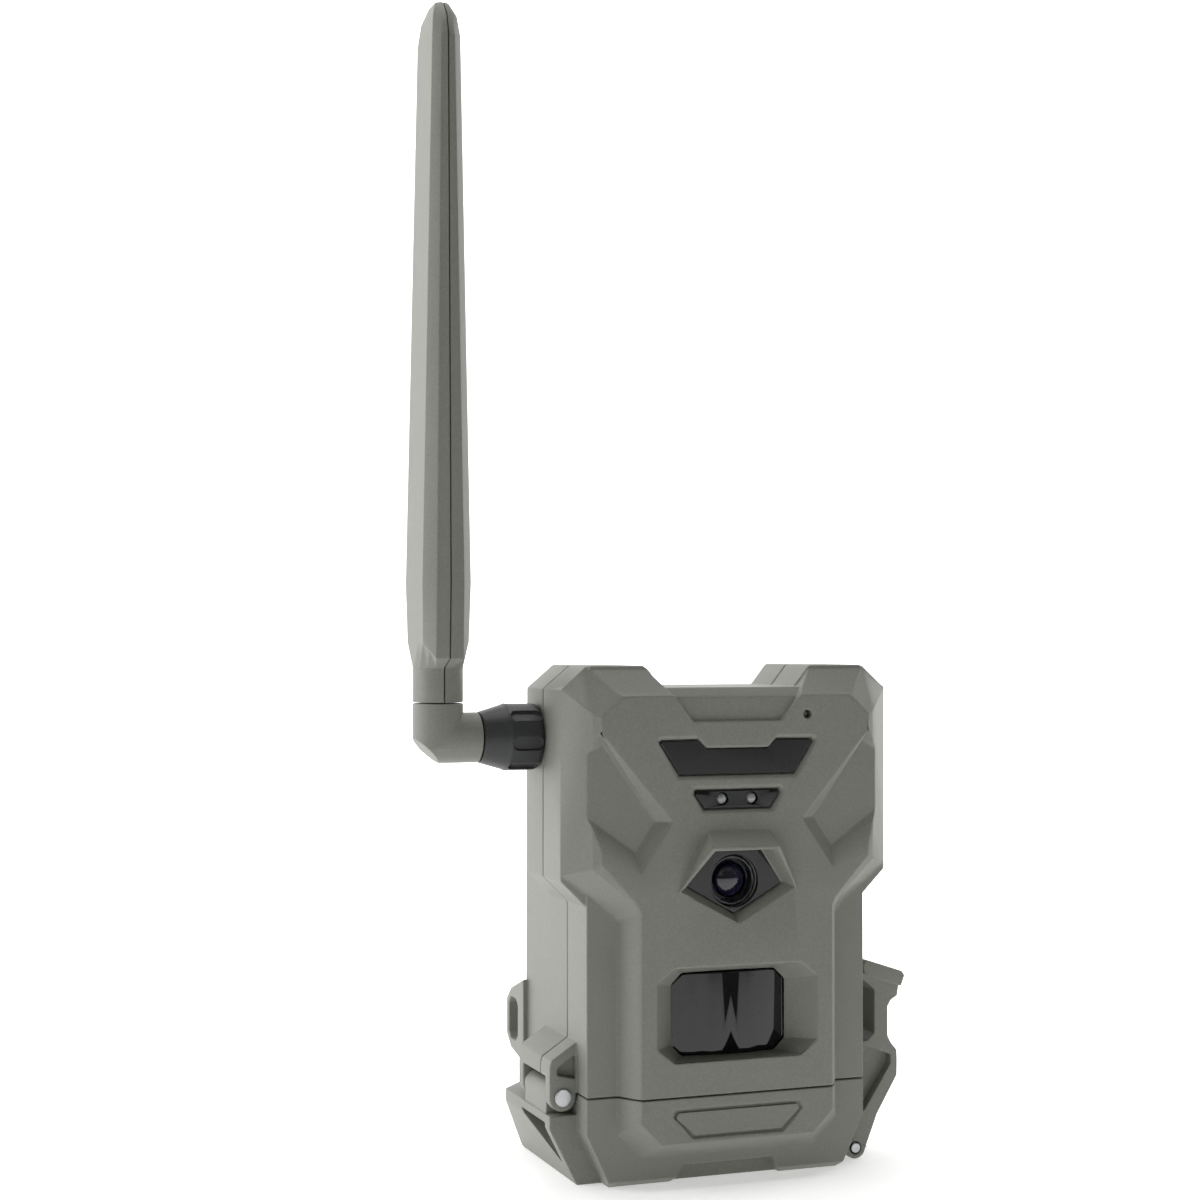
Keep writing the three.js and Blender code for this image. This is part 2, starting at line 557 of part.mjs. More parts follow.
const barrelY0 = HINGE_FRONT_Y + EAR_THICK + RUNNING;
const barrelY1 = REAR_EAR_Y - RUNNING;
const hingeBarrel = join(
  cylinder("y", HINGE_X, (barrelY0 + barrelY1) / 2, HINGE_Z, BARREL_R, barrelY1 - barrelY0, 32),
  block(-FLANK_X + 0.4, -HALF_WIDTH + 1, barrelY0, barrelY1, FLANK_TOP_Z - 2, HINGE_Z - 1),
);
const hingeBore = cylinder("y", HINGE_X, (barrelY0 + barrelY1) / 2, HINGE_Z, HINGE_PIN_R + RUNNING, 60, 20);
const earRelief = [HINGE_FRONT_Y, REAR_EAR_Y].map((y0) =>
  cylinder("y", HINGE_X, y0 + EAR_THICK / 2, HINGE_Z, EAR_R + 0.55, EAR_THICK + 2 * RUNNING, 32));
const flankPocket = prismX([
  [barrelY1 + 2, FLANK_TOP_Z - 2.4], [barrelY0, FLANK_TOP_Z - 2.4], [barrelY0, 5.5],
], -FLANK_X - 1, -FLANK_X + 5.2);

const doorCavity = join(
  prismY(mirrored([
    [FOOT_HALF - 2.6, DOOR_FLOOR], [HALF_WIDTH - WALL, FOOT_Z + 1.4], [HALF_WIDTH - WALL, SEAM_Z + 1],
  ]), FLANGE_Y + WALL + 0.4, BACK_Y - WALL),
  block(-24, 24, FRONT_Y + 3.2, FLANGE_Y + 3, 14.6, SEAM_Z + 1),
);
const TRAY_PADS = [-22, 19].map((x) => block(x, x + 3, -4, 16, 2, DOOR_TOP_Z));
const notchRib = block(-18, 18, FLANGE_Y + 2, NOTCH_BACK_Y + WALL, 0.8, 8);
const lowerBody = cut(outer, above(DOOR_TOP_Z));
const GASKET_HALF_X = HALF_WIDTH - WALL + 0.2;
const RAIL_FRONT_Y = FLANGE_Y + WALL + 0.3;
const RAIL_BACK_Y = BACK_Y - WALL + 0.1;
const RAIL_TOP_Z = DOOR_TOP_Z - 1.6;
const gasketRail = cut(
  block(-GASKET_HALF_X, GASKET_HALF_X, RAIL_FRONT_Y, RAIL_BACK_Y, 17, RAIL_TOP_Z),
  block(-GASKET_HALF_X + 2.2, GASKET_HALF_X - 2.2, RAIL_FRONT_Y + 2.2, RAIL_BACK_Y - 2.2, 16, 30),
);

const doorBody = join(
  cut(lowerBody, doorCavity), flank(-1, HINGE_FRONT_Y, FLANK_BACK_Y), latchLug, hingeBarrel,
  notchRib, gasketRail, ...TRAY_PADS,
);
part("battery_door", cut(
  doorBody,
  prismY(NOTCH, FRONT_Y - 1, NOTCH_BACK_Y),
  loft([atY(grown(BADGE, 0.8), FRONT_Y - 0.6), atY(BADGE, FRONT_Y + BADGE_DEPTH)]),
  latchBore, hingeBore, ...earRelief, flankPocket,
), OLIVE);

const badgeFloorY = FRONT_Y + BADGE_DEPTH;
part("name_plate", prismY(grown(BADGE, -0.5), badgeFloorY - 0.75, badgeFloorY - 0.05), OLIVE);

// The gasket lies on the door's rail, inside the wall, and meets the housing's lower edge.
const gasketX = GASKET_HALF_X - 0.5;
part("door_gasket", cut(
  block(-gasketX, gasketX, RAIL_FRONT_Y + 0.5, RAIL_BACK_Y - 0.4, RAIL_TOP_Z + 0.05, DOOR_TOP_Z - 0.05),
  block(-gasketX + 1.6, gasketX - 1.6, RAIL_FRONT_Y + 2.1, RAIL_BACK_Y - 2, 20, 30),
), RUBBER);

const pinY = (HINGE_FRONT_Y + HINGE_BACK_Y) / 2;
const hingeLength = HINGE_BACK_Y - HINGE_FRONT_Y;
part("hinge_pin", join(
  cylinder("y", HINGE_X, pinY, HINGE_Z, HINGE_PIN_R, hingeLength + 0.6, 20),
  cylinder("y", HINGE_X, HINGE_FRONT_Y - 0.4, HINGE_Z, 2.35, 0.5, 24),
), STEEL);

// Latch lever: an arm with a sunk panel, a neck beside a through gap, and a sloping finger tab

const ARM = [
  [LATCH_X - 0.9, 8.6], [46.4, 8.6], [54.6, 22.3], [54.7, 26.4], [54.6, 29.3], [52.8, 31.4], [51.8, 33.4],
  [51.8, 41.6], [52.8, 43.2], [54.8, 44.4], [55.2, 47], [56.5, 50.1], [55.7, 51.3], [44.6, 55],
  [41.2, 54.4], [41.2, 50.4], [44.4, 49.2], [47.6, 46.4], [47.6, 34.4], [45.2, 32.4], [41.2, 33.2],
];
const ARM_PANEL = [[42.9, 13.6], [44.3, 13.1], [52.6, 25.6], [52.6, 28.2], [44.4, 31.2], [42.9, 30.4]];
const ARM_PANEL_DEPTH = 3;
const eyes = [LATCH_FRONT_Y, LEVER_BACK_Y - LEVER_FORK].map((y0) => join(
  cylinder("y", LATCH_X, y0 + LEVER_FORK / 2, LATCH_Z, LATCH_EYE_R, LEVER_FORK, 32),
  prismY([[LATCH_X - 1, 3.6], [LATCH_X + 3.1, 3], [48.6, 12.4], [LATCH_X - 0.9, 12.4]], y0, y0 + LEVER_FORK),
));
const tabWing = prismY([
  [44.6, 55], [55.7, 51.3], [56.5, 50.1], [55.4, 47.2], [44, 51.2], [43.4, 53.6],
], LATCH_FRONT_Y - 1.2, LEVER_BACK_Y + 1.2);
const leverCuts = [
  prismY(ARM_PANEL, LATCH_FRONT_Y - 1, LATCH_FRONT_Y + ARM_PANEL_DEPTH),
  prismY(ARM_PANEL, LEVER_BACK_Y - ARM_PANEL_DEPTH, LEVER_BACK_Y + 1),
  cylinder("y", LATCH_X, (lugY0 + lugY1) / 2, LATCH_Z, LATCH_PIN_R + RUNNING, 40, 20),
  cylinder("y", LATCH_X, (lugY0 + lugY1) / 2, LATCH_Z, LATCH_EYE_R + 2.8, lugY1 - lugY0 + 2 * RUNNING, 32),
];
const leverArm = prismY(ARM, LATCH_FRONT_Y, LEVER_BACK_Y);
part("latch_lever", cut(join(leverArm, ...eyes, tabWing), ...leverCuts), OLIVE);
part("latch_pin", cylinder("y", LATCH_X, (LATCH_FRONT_Y + LEVER_BACK_Y) / 2, LATCH_Z, LATCH_PIN_R,
  LATCH_WIDTH + 0.4, 20), STEEL);

// Windows and lamps

const PANE_FRONT_Y = FRONT_Y + 0.9;
const PANE_BACK_Y = FRONT_Y + 1.75;
part("led_window", prismY(grown(LED_WINDOW, -0.25), PANE_FRONT_Y, PANE_BACK_Y), SMOKED);
const LAMP_X = 4.26;
const LAMP_Z = 101.8;
const LAMP_R = 1.5;
const lampHoles = [-LAMP_X, LAMP_X].map((x) => cylinder("y", x, FRONT_Y, LAMP_Z, LAMP_R + 0.2, 8, 24));
const lampPane = prismY(grown(LAMP_WINDOW, -0.25), PANE_FRONT_Y, PANE_BACK_Y);
part("lamp_window", cut(lampPane, ...lampHoles), GLOSS_BLACK);

// A round-nosed lamp that looks out along -Y, turned from its half outline.
function lamp(x, z, radius, noseY, length, segments = 20) {
  const profile = [[0, 0], [radius, 0], [radius, length - radius]];
  for (let i = 1; i <= 4; i++) {
    const angle = (i * Math.PI) / 8;
    const height = length - radius + radius * Math.sin(angle);
    profile.push([i === 4 ? 0 : radius * Math.cos(angle), height]);
  }
  const turned = new THREE.LatheGeometry(profile.map(([a, b]) => new THREE.Vector2(a, b)), segments);
  return solid(turned.rotateX(Math.PI).translate(x, noseY + length, z));
}

const LAMP_BASE_Y = LED_BOARD_Y - GAP;
[["lamp_left", -LAMP_X], ["lamp_right", LAMP_X]].forEach(([name, x]) => {
  part(name, lamp(x, LAMP_Z, LAMP_R, FRONT_Y + 0.5, LAMP_BASE_Y - FRONT_Y - 0.5), CLEAR);
});
part("status_light", cylinder("y", STATUS_HOLE.x, (LAMP_BASE_Y + FRONT_Y + 1.6) / 2, STATUS_HOLE.z,
  STATUS_HOLE.r - GAP, LAMP_BASE_Y - FRONT_Y - 1.6, 14), CLEAR);

// Infra-red board with its lamps in two rows behind the smoked window
const LED_ROWS = [[111.6, [-12.5, -7.5, -2.5, 2.5, 7.5, 12.5]], [113.8, [-15.4, 15.4]]];
const LED_R = 1.5;
part("infrared_board", join(
  block(-28.5, 28.5, LED_BOARD_Y, LED_BOARD_Y + 1.6, 96, 120.9),
  block(STATUS_HOLE.x - 4, STATUS_HOLE.x + 4, LED_BOARD_Y, LED_BOARD_Y + 1.6, 120, 126.6),
  ...LED_ROWS.flatMap(([z, xs]) => xs.map((x) => lamp(x, z, LED_R, LED_BOARD_Y - 5, 5.6, 10))),
), BOARD);

// Camera: five-sided plate, ringed barrel, lens, holder and sensor board

const PLATE_THICK = 1.2;
part("lens_plate", cut(
  prismY(grown(fiveSided(RECESS_FLOOR), -0.15), LENS_PLATE_Y, LENS_PLATE_Y + PLATE_THICK),
  cylinder("y", 0, LENS_PLATE_Y, LENS_Z, LENS_BORE_R, 5, 36),
), GLOSS_BLACK);
const RING_R = 6.6;
const LENS_R = 4.4;
const RING_Y = LENS_PLATE_Y + 1.5;
const SENSOR_BOARD_Y = -14.4;

// A turned piece round the lens axis, from [radius, Y] points that close on themselves.
function turnedLens(profile, segments = 36) {
  const closed = [...profile, profile[0]].map(([r, y]) => new THREE.Vector2(r, y));
  return facingOut(new THREE.LatheGeometry(closed, segments).translate(0, 0, LENS_Z));
}

part("lens_barrel", turnedLens([
  [RING_R, RING_Y], [RING_R, SENSOR_BOARD_Y - 6.3], [4.9, SENSOR_BOARD_Y - 6.3], [4.9, RING_Y + 3],
  [LENS_R + 0.35, RING_Y + 1.6], [RING_R - 0.7, RING_Y],
]), CHARCOAL);
part("lens_glass", turnedLens([
  [0, RING_Y + 0.6], [1.8, RING_Y + 0.8], [3.2, RING_Y + 1.35], [LENS_R, RING_Y + 2.1],
  [LENS_R, RING_Y + 4], [0, RING_Y + 4],
].map(([r, y]) => [r, y + 0.2])), GLOSS_BLACK);
part("lens_holder", cut(
  block(-8, 8, SENSOR_BOARD_Y - 6, SENSOR_BOARD_Y - GAP, LENS_Z - 8, LENS_Z + 8),
  cylinder("y", 0, SENSOR_BOARD_Y - 3, LENS_Z, 5, 8, 24),
), LINER);
part("image_sensor_board", join(
  block(-9.5, 9.5, SENSOR_BOARD_Y, SENSOR_BOARD_Y + 1.2, LENS_Z - 9.5, LENS_Z + 9.5),
  block(-3.6, 3.6, SENSOR_BOARD_Y - 1.1, SENSOR_BOARD_Y + 0.2, LENS_Z - 3, LENS_Z + 3),
  block(-7, 7, SENSOR_BOARD_Y + 1, BOARD_Y - GAP, LENS_Z - 8.6, LENS_Z - 4.6),
), BOARD);

// Motion sensor: a curved window in the bay and a can behind it

const BAY_BACK_Y = FRONT_Y + SENSOR_BAY_DEPTH;
const BAY_WINDOW_SAG = 2.4;
const BAY_MID_Z = (BAY_THROAT[0][1] + BAY_THROAT[3][1]) / 2;
const windowPane = () => {
  const arc = [];
  const steps = 12;
  for (let i = 0; i <= steps; i++) {
    const x = -15.9 + (31.8 * i) / steps;
    arc.push([x, BAY_BACK_Y + GAP - BAY_WINDOW_SAG * (1 - (x / 15.9) ** 2) - 0.1]);
  }
  const back = [[15.9, BAY_BACK_Y + 1.4], [-15.9, BAY_BACK_Y + 1.4]];
  return prismZ([...arc, ...back], 30, 60)
    .intersect(prismY(grown(BAY_THROAT, -GAP), FRONT_Y, BAY_BACK_Y + 3));
};
const sensorWindow = join(
  windowPane(), block(-18, 18, BAY_BACK_Y + GAP, BAY_BACK_Y + 1.5, 31.4, 57.6));
const windowHollow = block(-13, 13, BAY_BACK_Y + 0.6, BAY_BACK_Y + 3, 36, 53);
part("sensor_window", cut(sensorWindow, windowHollow), SMOKED);
part("motion_sensor_can", join(
  cylinder("y", 0, BOARD_Y - GAP - 2.2, BAY_MID_Z, 4.1, 4.4, 24),
  cylinder("y", 0, BOARD_Y - GAP - 0.3, BAY_MID_Z, 4.7, 0.6, 24),
), STEEL);

// Main board, its keys, card and power parts

const BOARD_HALF = 35;
const boardBack = BOARD_Y + BOARD_THICK;
part("main_board", cut(
  join(
    block(-BOARD_HALF, BOARD_HALF, BOARD_Y, boardBack, 28.5, 126),
    block(-14, 14, BOARD_Y - 2.6, BOARD_Y + 0.4, 60, 67),
    block(14, 28, BOARD_Y - 1.6, BOARD_Y + 0.4, 84, 98),
    block(-28, -16, BOARD_Y - 2, BOARD_Y + 0.4, 86, 100),
  ),
  ...BOARD_BOSSES.map(([x, z]) => cylinder("y", x, BOARD_Y + 1, z, SCREW_R + 0.2, 6, 12)),
), BOARD);
const boardScrew = (x, z) => join(
  cylinder("y", x, boardBack + GAP / 2 + 0.6, z, 2.4, 1.1, 16),
  cylinder("y", x, BOARD_Y - 1.5, z, SCREW_R - 0.1, 8, 10),
);
BOARD_BOSSES.forEach(([x, z], i) => part(`board_screw_${i + 1}`, boardScrew(x, z), STEEL));

const CARD = { x: -17, half: 5.5, bottomZ: 27.6, topZ: 43, thick: 1 };
const cardFrontY = BOARD_Y - 1 - CARD.thick;
part("card_slot", cut(
  block(CARD.x - 7, CARD.x + 7, cardFrontY - 0.9, BOARD_Y - GAP, 29.2, CARD.topZ + 2),
  block(CARD.x - CARD.half - GAP, CARD.x + CARD.half + GAP, cardFrontY - GAP, cardFrontY + CARD.thick + 0.25,
    28, CARD.topZ + GAP),
), STEEL);
part("memory_card", prismY([
  [CARD.x - CARD.half, CARD.bottomZ], [CARD.x + CARD.half, CARD.bottomZ], [CARD.x + CARD.half, CARD.topZ],
  [CARD.x - CARD.half + 2, CARD.topZ], [CARD.x - CARD.half, CARD.topZ - 3],
], cardFrontY, cardFrontY + CARD.thick), LINER);

// Keys under the door: a stem through the housing's lower wall, a collar inside, a switch above
const KEY_TRAVEL = 0.6;
const collarZ = CAVITY_FLOOR_Z + GAP;
KEYS.forEach(([name, x]) => {
  part(name, join(
    cylinder("z", x, KEY_Y, (SEAM_Z - 0.4 + collarZ) / 2, KEY_R, collarZ - SEAM_Z + 0.4, 24),
    cylinder("z", x, KEY_Y, collarZ + 0.6, KEY_R + 1, 1.2, 24),
  ), CHARCOAL);
});
const switchZ = collarZ + 1.2 + KEY_TRAVEL + GAP;
part("key_switch_strip", join(
  block(KEYS[0][1] - 4, KEYS[1][1] + 4, KEY_Y - 3, BOARD_Y - GAP, switchZ + 1.6, switchZ + 3),
  ...KEYS.map(([, x]) => block(x - 2.2, x + 2.2, KEY_Y - 2.2, KEY_Y + 2.2, switchZ, switchZ + 1.8)),
), BOARD);

// Power socket with its rubber plug, bracket insert, antenna socket
const jackX = HALF_WIDTH - WALL - 0.2;
part("power_socket", cut(
  join(
    cylinder("x", HALF_WIDTH - 5.4, JACK.y, JACK.z, JACK.r - GAP, 9, 24),
    cylinder("x", jackX - 1.5, JACK.y, JACK.z, JACK.r + 1.6, 2.4, 24),
  ),
  cylinder("x", HALF_WIDTH - 2, JACK.y, JACK.z, 2.75, 8, 20),
), CHARCOAL);
part("socket_plug", join(
  cylinder("x", HALF_WIDTH + 0.95, JACK.y, JACK.z, 5.6, 1.3, 28, 5),
  cylinder("x", HALF_WIDTH - 1.6, JACK.y, JACK.z, 2.45, 5, 20),
), RUBBER);
const INSERT_BORE_R = 3.1;
part("bracket_insert", cut(
  cylinder("y", 0, TREE_PLATE_Y - 0.6 - (INSERT.length - 1) / 2, INSERT.z,
    INSERT.r - GAP, INSERT.length - 1, 6),
  cylinder("y", 0, TREE_PLATE_Y + 0.4 - INSERT.length / 2, INSERT.z, INSERT_BORE_R, INSERT.length - 0.4, 20),
), BRASS);

const socketOut = 5; // how far the thread stands out of the housing
const socketX0 = -SHOULDER_HALF - socketOut;
part("antenna_socket", cut(
  join(
    cylinder("x", (socketX0 - 36) / 2, ANTENNA_Y, ANTENNA_Z, 3.1, -36 - socketX0, 20),
    cylinder("x", -SHOULDER_HALF + WALL + 1.2, ANTENNA_Y, ANTENNA_Z, 5.6, 1.6, 6),
    block(-40, -33.5, boardBack + GAP, ANTENNA_Y, ANTENNA_Z - 3, ANTENNA_Z + 3),
  ),
  cylinder("x", socketX0, ANTENNA_Y, ANTENNA_Z, 1.9, 5, 16),
), BRASS);

// Battery tray: slides in from below, holds two rows of four cells between two contact plates

const TRAY_BOTTOM_Z = DOOR_TOP_Z + GAP + 0.15;
const TRAY_FLOOR = 2;
const PLATE = 0.8; // contact plates
const cellBottomZ = TRAY_BOTTOM_Z + TRAY_FLOOR + PLATE + 2 * GAP;
const cellTopZ = cellBottomZ + CELL_LENGTH;
const trayTopZ = cellTopZ + 2 * GAP + PLATE + TRAY_FLOOR;
const trayMidY = (TRAY_FRONT_Y + TRAY_BACK_Y) / 2;
const cells = [];
for (let row = 0; row < CELLS_DEEP; row++) {
  for (let column = 0; column < CELLS_ACROSS; column++) {
    cells.push([
      (column - (CELLS_ACROSS - 1) / 2) * CELL_PITCH,
      trayMidY + (row - (CELLS_DEEP - 1) / 2) * CELL_PITCH,
      (row + column) % 2,
    ]);
  }
}
const cellMidZ = (cellBottomZ + cellTopZ) / 2;
part("battery_tray", cut(
  block(-TRAY_HALF, TRAY_HALF, TRAY_FRONT_Y, TRAY_BACK_Y, TRAY_BOTTOM_Z, trayTopZ),
  ...cells.map(([x, y]) =>
    cylinder("z", x, y, cellMidZ, CELL_R + 0.25, CELL_LENGTH + 2 * (GAP + PLATE + 0.3), 16)),
  block(-TRAY_HALF + 2, TRAY_HALF - 2, TRAY_BACK_Y - 5.4, TRAY_BACK_Y + 1, cellBottomZ + 4, cellTopZ - 4),
  block(-TRAY_HALF + 2, TRAY_HALF - 2, TRAY_FRONT_Y - 1, TRAY_FRONT_Y + 5.4, cellBottomZ + 4, cellTopZ - 4),
  block(-TRAY_HALF + 3, TRAY_HALF - 3, trayMidY - 3, trayMidY + 3,
    cellTopZ + GAP - 0.2, cellTopZ + PLATE + 2 * GAP),
  block(-TRAY_HALF + 3, TRAY_HALF - 3, trayMidY - 3, trayMidY + 3,
    cellBottomZ - PLATE - 2 * GAP, cellBottomZ - GAP + 0.2),
), LINER);

// An AA cell with its stepped cap, which faces up or down.
function cell(x, y, capUp) {
  const nub = 1.1;
  const shoulder = CELL_LENGTH - nub;
  const turned = new THREE.LatheGeometry([
    [0, 0], [CELL_R - 0.9, 0], [CELL_R, 0.7], [CELL_R, shoulder - 0.7], [CELL_R - 1, shoulder],
    [2.7, shoulder], [2.7, CELL_LENGTH], [0, CELL_LENGTH],
  ].map(([a, b]) => new THREE.Vector2(a, b)), 16);
  turned.translate(0, -CELL_LENGTH / 2, 0).rotateX(capUp ? Math.PI / 2 : -Math.PI / 2);
  return facingOut(turned.translate(x, y, cellMidZ));
}

cells.forEach(([x, y, up], i) => part(`cell_${i + 1}`, cell(x, y, up === 1), CELL_WRAP));
const contactPlates = [["contact_plate_top", cellTopZ + GAP], ["contact_plate_bottom", cellBottomZ - GAP - PLATE]];
contactPlates.forEach(([name, z]) => {
  part(name, join(
    ...cells.map(([x, y]) => cylinder("z", x, y, z + PLATE / 2, CELL_R - 1.2, PLATE, 12)),
    block(-CELL_PITCH * 1.5, CELL_PITCH * 1.5, trayMidY - 2.5, trayMidY + 2.5, z, z + PLATE),
  ), STEEL);
});

// Housing screws and the gasket in the parting line
const screwHeadY = BACK_Y - 2.4;
HOUSING_SCREWS.forEach(([x, z], i) => part(`housing_screw_${i + 1}`, cut(
  join(
    cylinder("y", x, screwHeadY + 0.7, z, SCREW_HEAD_R, 1.6, 20),
    cylinder("y", x, screwHeadY - 6, z, SCREW_R, 14, 12),
  ),
  cylinder("y", x, screwHeadY + 1.6, z, 1.3, 1.6, 6),
), STEEL));

// Antenna: a gripped nut on the socket, an elbow held by it, and a blade of two half shells

const nutInnerX = -SHOULDER_HALF - GAP;
const nutOuterX = nutInnerX - NUT_LENGTH;
const NUT_TAPER_X = nutInnerX - 9;
const NUT_POCKETS = 7;
const NUT_POCKET = { half: 2.6, r: 1.7, depth: 0.9 }; // half length between the round ends, end radius
const NUT_BORE_R = 3.45;

function nutPocket(angle) {
  const middleX = (nutInnerX + NUT_TAPER_X) / 2;
  const drill = (dx) => new THREE.CylinderGeometry(NUT_POCKET.r, NUT_POCKET.r, 4, 12).translate(dx, 0, 0);
  const slot = join(
    solid(drill(-NUT_POCKET.half)), solid(drill(NUT_POCKET.half)),
    solid(new THREE.BoxGeometry(2 * NUT_POCKET.half, 4, 2 * NUT_POCKET.r)),
  );
  const turn = new THREE.Matrix4().makeTranslation(middleX, ANTENNA_Y, ANTENNA_Z)
    .multiply(new THREE.Matrix4().makeRotationX(angle))
    .multiply(new THREE.Matrix4().makeTranslation(0, NUT_R + 2 - NUT_POCKET.depth, 0));
  return solid(geometryOf(slot).applyMatrix4(turn));
}

const along = (r, x) => new THREE.Vector2(r, x);
const nutTurned = new THREE.LatheGeometry([
  along(NUT_BORE_R, 0), along(NUT_R - 0.9, 0), along(NUT_R - 0.3, 0.4), along(NUT_R, 1.4),
  along(NUT_R, 9), along(NUT_R - 0.35, 9.7), along(NUT_END_R, NUT_LENGTH), along(NUT_BORE_R, NUT_LENGTH),
  along(NUT_BORE_R, 0),
], 42).rotateZ(Math.PI / 2).translate(nutInnerX, ANTENNA_Y, ANTENNA_Z);
const FIRST_POCKET = Math.PI - 0.72;
const pocketAngles = Array.from(
  { length: NUT_POCKETS }, (_, i) => FIRST_POCKET + (i * 2 * Math.PI) / NUT_POCKETS);
part("antenna_nut", cut(facingOut(nutTurned), ...pocketAngles.map(nutPocket)), CHARCOAL);

const elbowFaceX = nutOuterX - GAP;
const stemTopZ = BLADE_SEAM_Z - GAP / 2;
const stem = cylinder("z", ANTENNA_X, ANTENNA_Y, (ANTENNA_Z - STEM_R + stemTopZ) / 2, STEM_R,
  stemTopZ - ANTENNA_Z + STEM_R, 32);
const arm = cylinder("x", (ANTENNA_X - STEM_R + elbowFaceX) / 2, ANTENNA_Y, ANTENNA_Z, STEM_R,
  elbowFaceX - ANTENNA_X + STEM_R, 32);
const REACH = 40;
const mitre = (side) => prismY([
  [ANTENNA_X - REACH, ANTENNA_Z - REACH], [ANTENNA_X + REACH, ANTENNA_Z + REACH],
  [ANTENNA_X + side * REACH, ANTENNA_Z - side * REACH],
], ANTENNA_Y - 20, ANTENNA_Y + 20);
const outerCorner = prismY([
  [ANTENNA_X - STEM_R - 1, ANTENNA_Z + 1], [ANTENNA_X - STEM_R - 1, ANTENNA_Z - STEM_R - 1],
  [ANTENNA_X + 1, ANTENNA_Z - STEM_R - 1],
], ANTENNA_Y - 20, ANTENNA_Y + 20);
const stubEndX = socketX0 - 0.5;
part("antenna_elbow", cut(
  join(
    stem.intersect(mitre(-1)), arm.intersect(mitre(1)),
    cylinder("x", (elbowFaceX - 1 + stubEndX) / 2, ANTENNA_Y, ANTENNA_Z,
      NUT_BORE_R - RUNNING, stubEndX - elbowFaceX + 1, 20),
  ),
  outerCorner,
), OLIVE);

// Half of the blade's section: flat side, bevel and a crowned edge.
function bladeHalf(w, d, edge, deep, crown) {
  const g = GAP / 2;
  return [
    [g, -crown], [edge, -deep], [(edge + w) / 2, -(d + deep) / 2], [w, -d], [w, -d / 3],
    [w, d / 3], [w, d], [(edge + w) / 2, (d + deep) / 2], [edge, deep], [g, crown],
  ];
}

function stemHalf(radius) {
  const points = bladeHalf(1, 1, 1, 1, 1);
  return points.map((_, i) => {
    const angle = -Math.PI / 2 + (Math.PI * i) / (points.length - 1);
    return [Math.max(GAP / 2, radius * Math.cos(angle)), radius * Math.sin(angle)];
  });
}

const BLADE_FOOT_Z = 136.3;
const BLADE_FLARE_Z = [138.8, 143.1]; // at the crowned edges and at the flat sides
const BLADE_WIDEST_Z = 158.7;
const BLADE_SHOULDER_Z = BLADE_TOP_Z - 9.6;
const flared = bladeHalf(6.25, 7.8, 3.7, 11.5, 12).map(([x, y]) => {
  const share = Math.min(1, Math.max(0, (Math.abs(y) - 7.8) / 3.7));
  return [x, y, BLADE_FLARE_Z[1] + share * (BLADE_FLARE_Z[0] - BLADE_FLARE_Z[1])];
});
const bladeRings = [
  atZ(stemHalf(STEM_R), BLADE_SEAM_Z + GAP / 2),
  atZ(stemHalf(STEM_R), BLADE_FOOT_Z),
  flared,
  atZ(bladeHalf(6.6, 8.5, 3.7, 12.2, 12.7), BLADE_WIDEST_Z),
  atZ(bladeHalf(3.9, 7.3, 1.8, 9, 9.6), BLADE_SHOULDER_Z),
  atZ(bladeHalf(3.3, 5.9, 1.5, 7.3, 7.9), BLADE_TOP_Z - 4),
  atZ(bladeHalf(1.9, 3, 0.9, 4, 4.4), BLADE_TOP_Z),
];
const ELEMENT_R = 1.2;
const elementTopZ = BLADE_SHOULDER_Z - 12;
const elementHole = cylinder("z", ANTENNA_X, ANTENNA_Y, (BLADE_SEAM_Z + elementTopZ) / 2, ELEMENT_R + GAP,
  elementTopZ - BLADE_SEAM_Z + 1, 12);
[["blade_inner_half", 1], ["blade_outer_half", -1]].forEach(([name, side]) => {
  const rings = bladeRings.map((ring) => ring.map(([x, y, z]) => [ANTENNA_X + side * x, ANTENNA_Y + y, z]));
  part(name, cut(loft(rings), elementHole), OLIVE);
});
part("antenna_element", cylinder("z", ANTENNA_X, ANTENNA_Y, (BLADE_SEAM_Z + elementTopZ) / 2, ELEMENT_R,
  elementTopZ - BLADE_SEAM_Z - 0.4, 10), BRASS);

const group = new THREE.Group();
group.add(...nodes);
export default group;
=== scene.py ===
import json
import math

import bmesh
import bpy
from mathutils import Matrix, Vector
from mathutils.geometry import area_tri, delaunay_2d_cdt, intersect_point_tri_2d, tessellate_polygon
from mathutils.kdtree import KDTree


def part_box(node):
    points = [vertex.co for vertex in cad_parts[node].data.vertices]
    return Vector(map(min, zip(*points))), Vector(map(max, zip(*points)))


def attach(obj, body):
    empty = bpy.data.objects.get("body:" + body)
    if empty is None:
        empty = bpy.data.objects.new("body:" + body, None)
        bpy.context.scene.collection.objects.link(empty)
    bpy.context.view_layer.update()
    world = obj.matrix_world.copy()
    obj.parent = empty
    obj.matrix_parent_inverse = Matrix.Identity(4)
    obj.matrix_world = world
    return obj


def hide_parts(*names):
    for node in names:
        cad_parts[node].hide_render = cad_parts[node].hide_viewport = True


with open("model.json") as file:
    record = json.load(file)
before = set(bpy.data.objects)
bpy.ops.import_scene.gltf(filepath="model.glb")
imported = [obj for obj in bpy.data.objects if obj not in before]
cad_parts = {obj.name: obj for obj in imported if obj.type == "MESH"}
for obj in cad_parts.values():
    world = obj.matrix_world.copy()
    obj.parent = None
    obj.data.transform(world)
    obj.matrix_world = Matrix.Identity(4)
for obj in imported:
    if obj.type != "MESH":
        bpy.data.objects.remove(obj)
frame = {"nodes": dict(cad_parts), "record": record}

MM = 0.001
MERGE = 0.004  # corners closer than this in millimetres are one
FLAT_ANGLE = math.radians(0.6)  # faces closer in direction than this lie in one plane
WHOLE_WITH_HOLES = 5  # the planar triangulation gives back whole faces, less those in holes
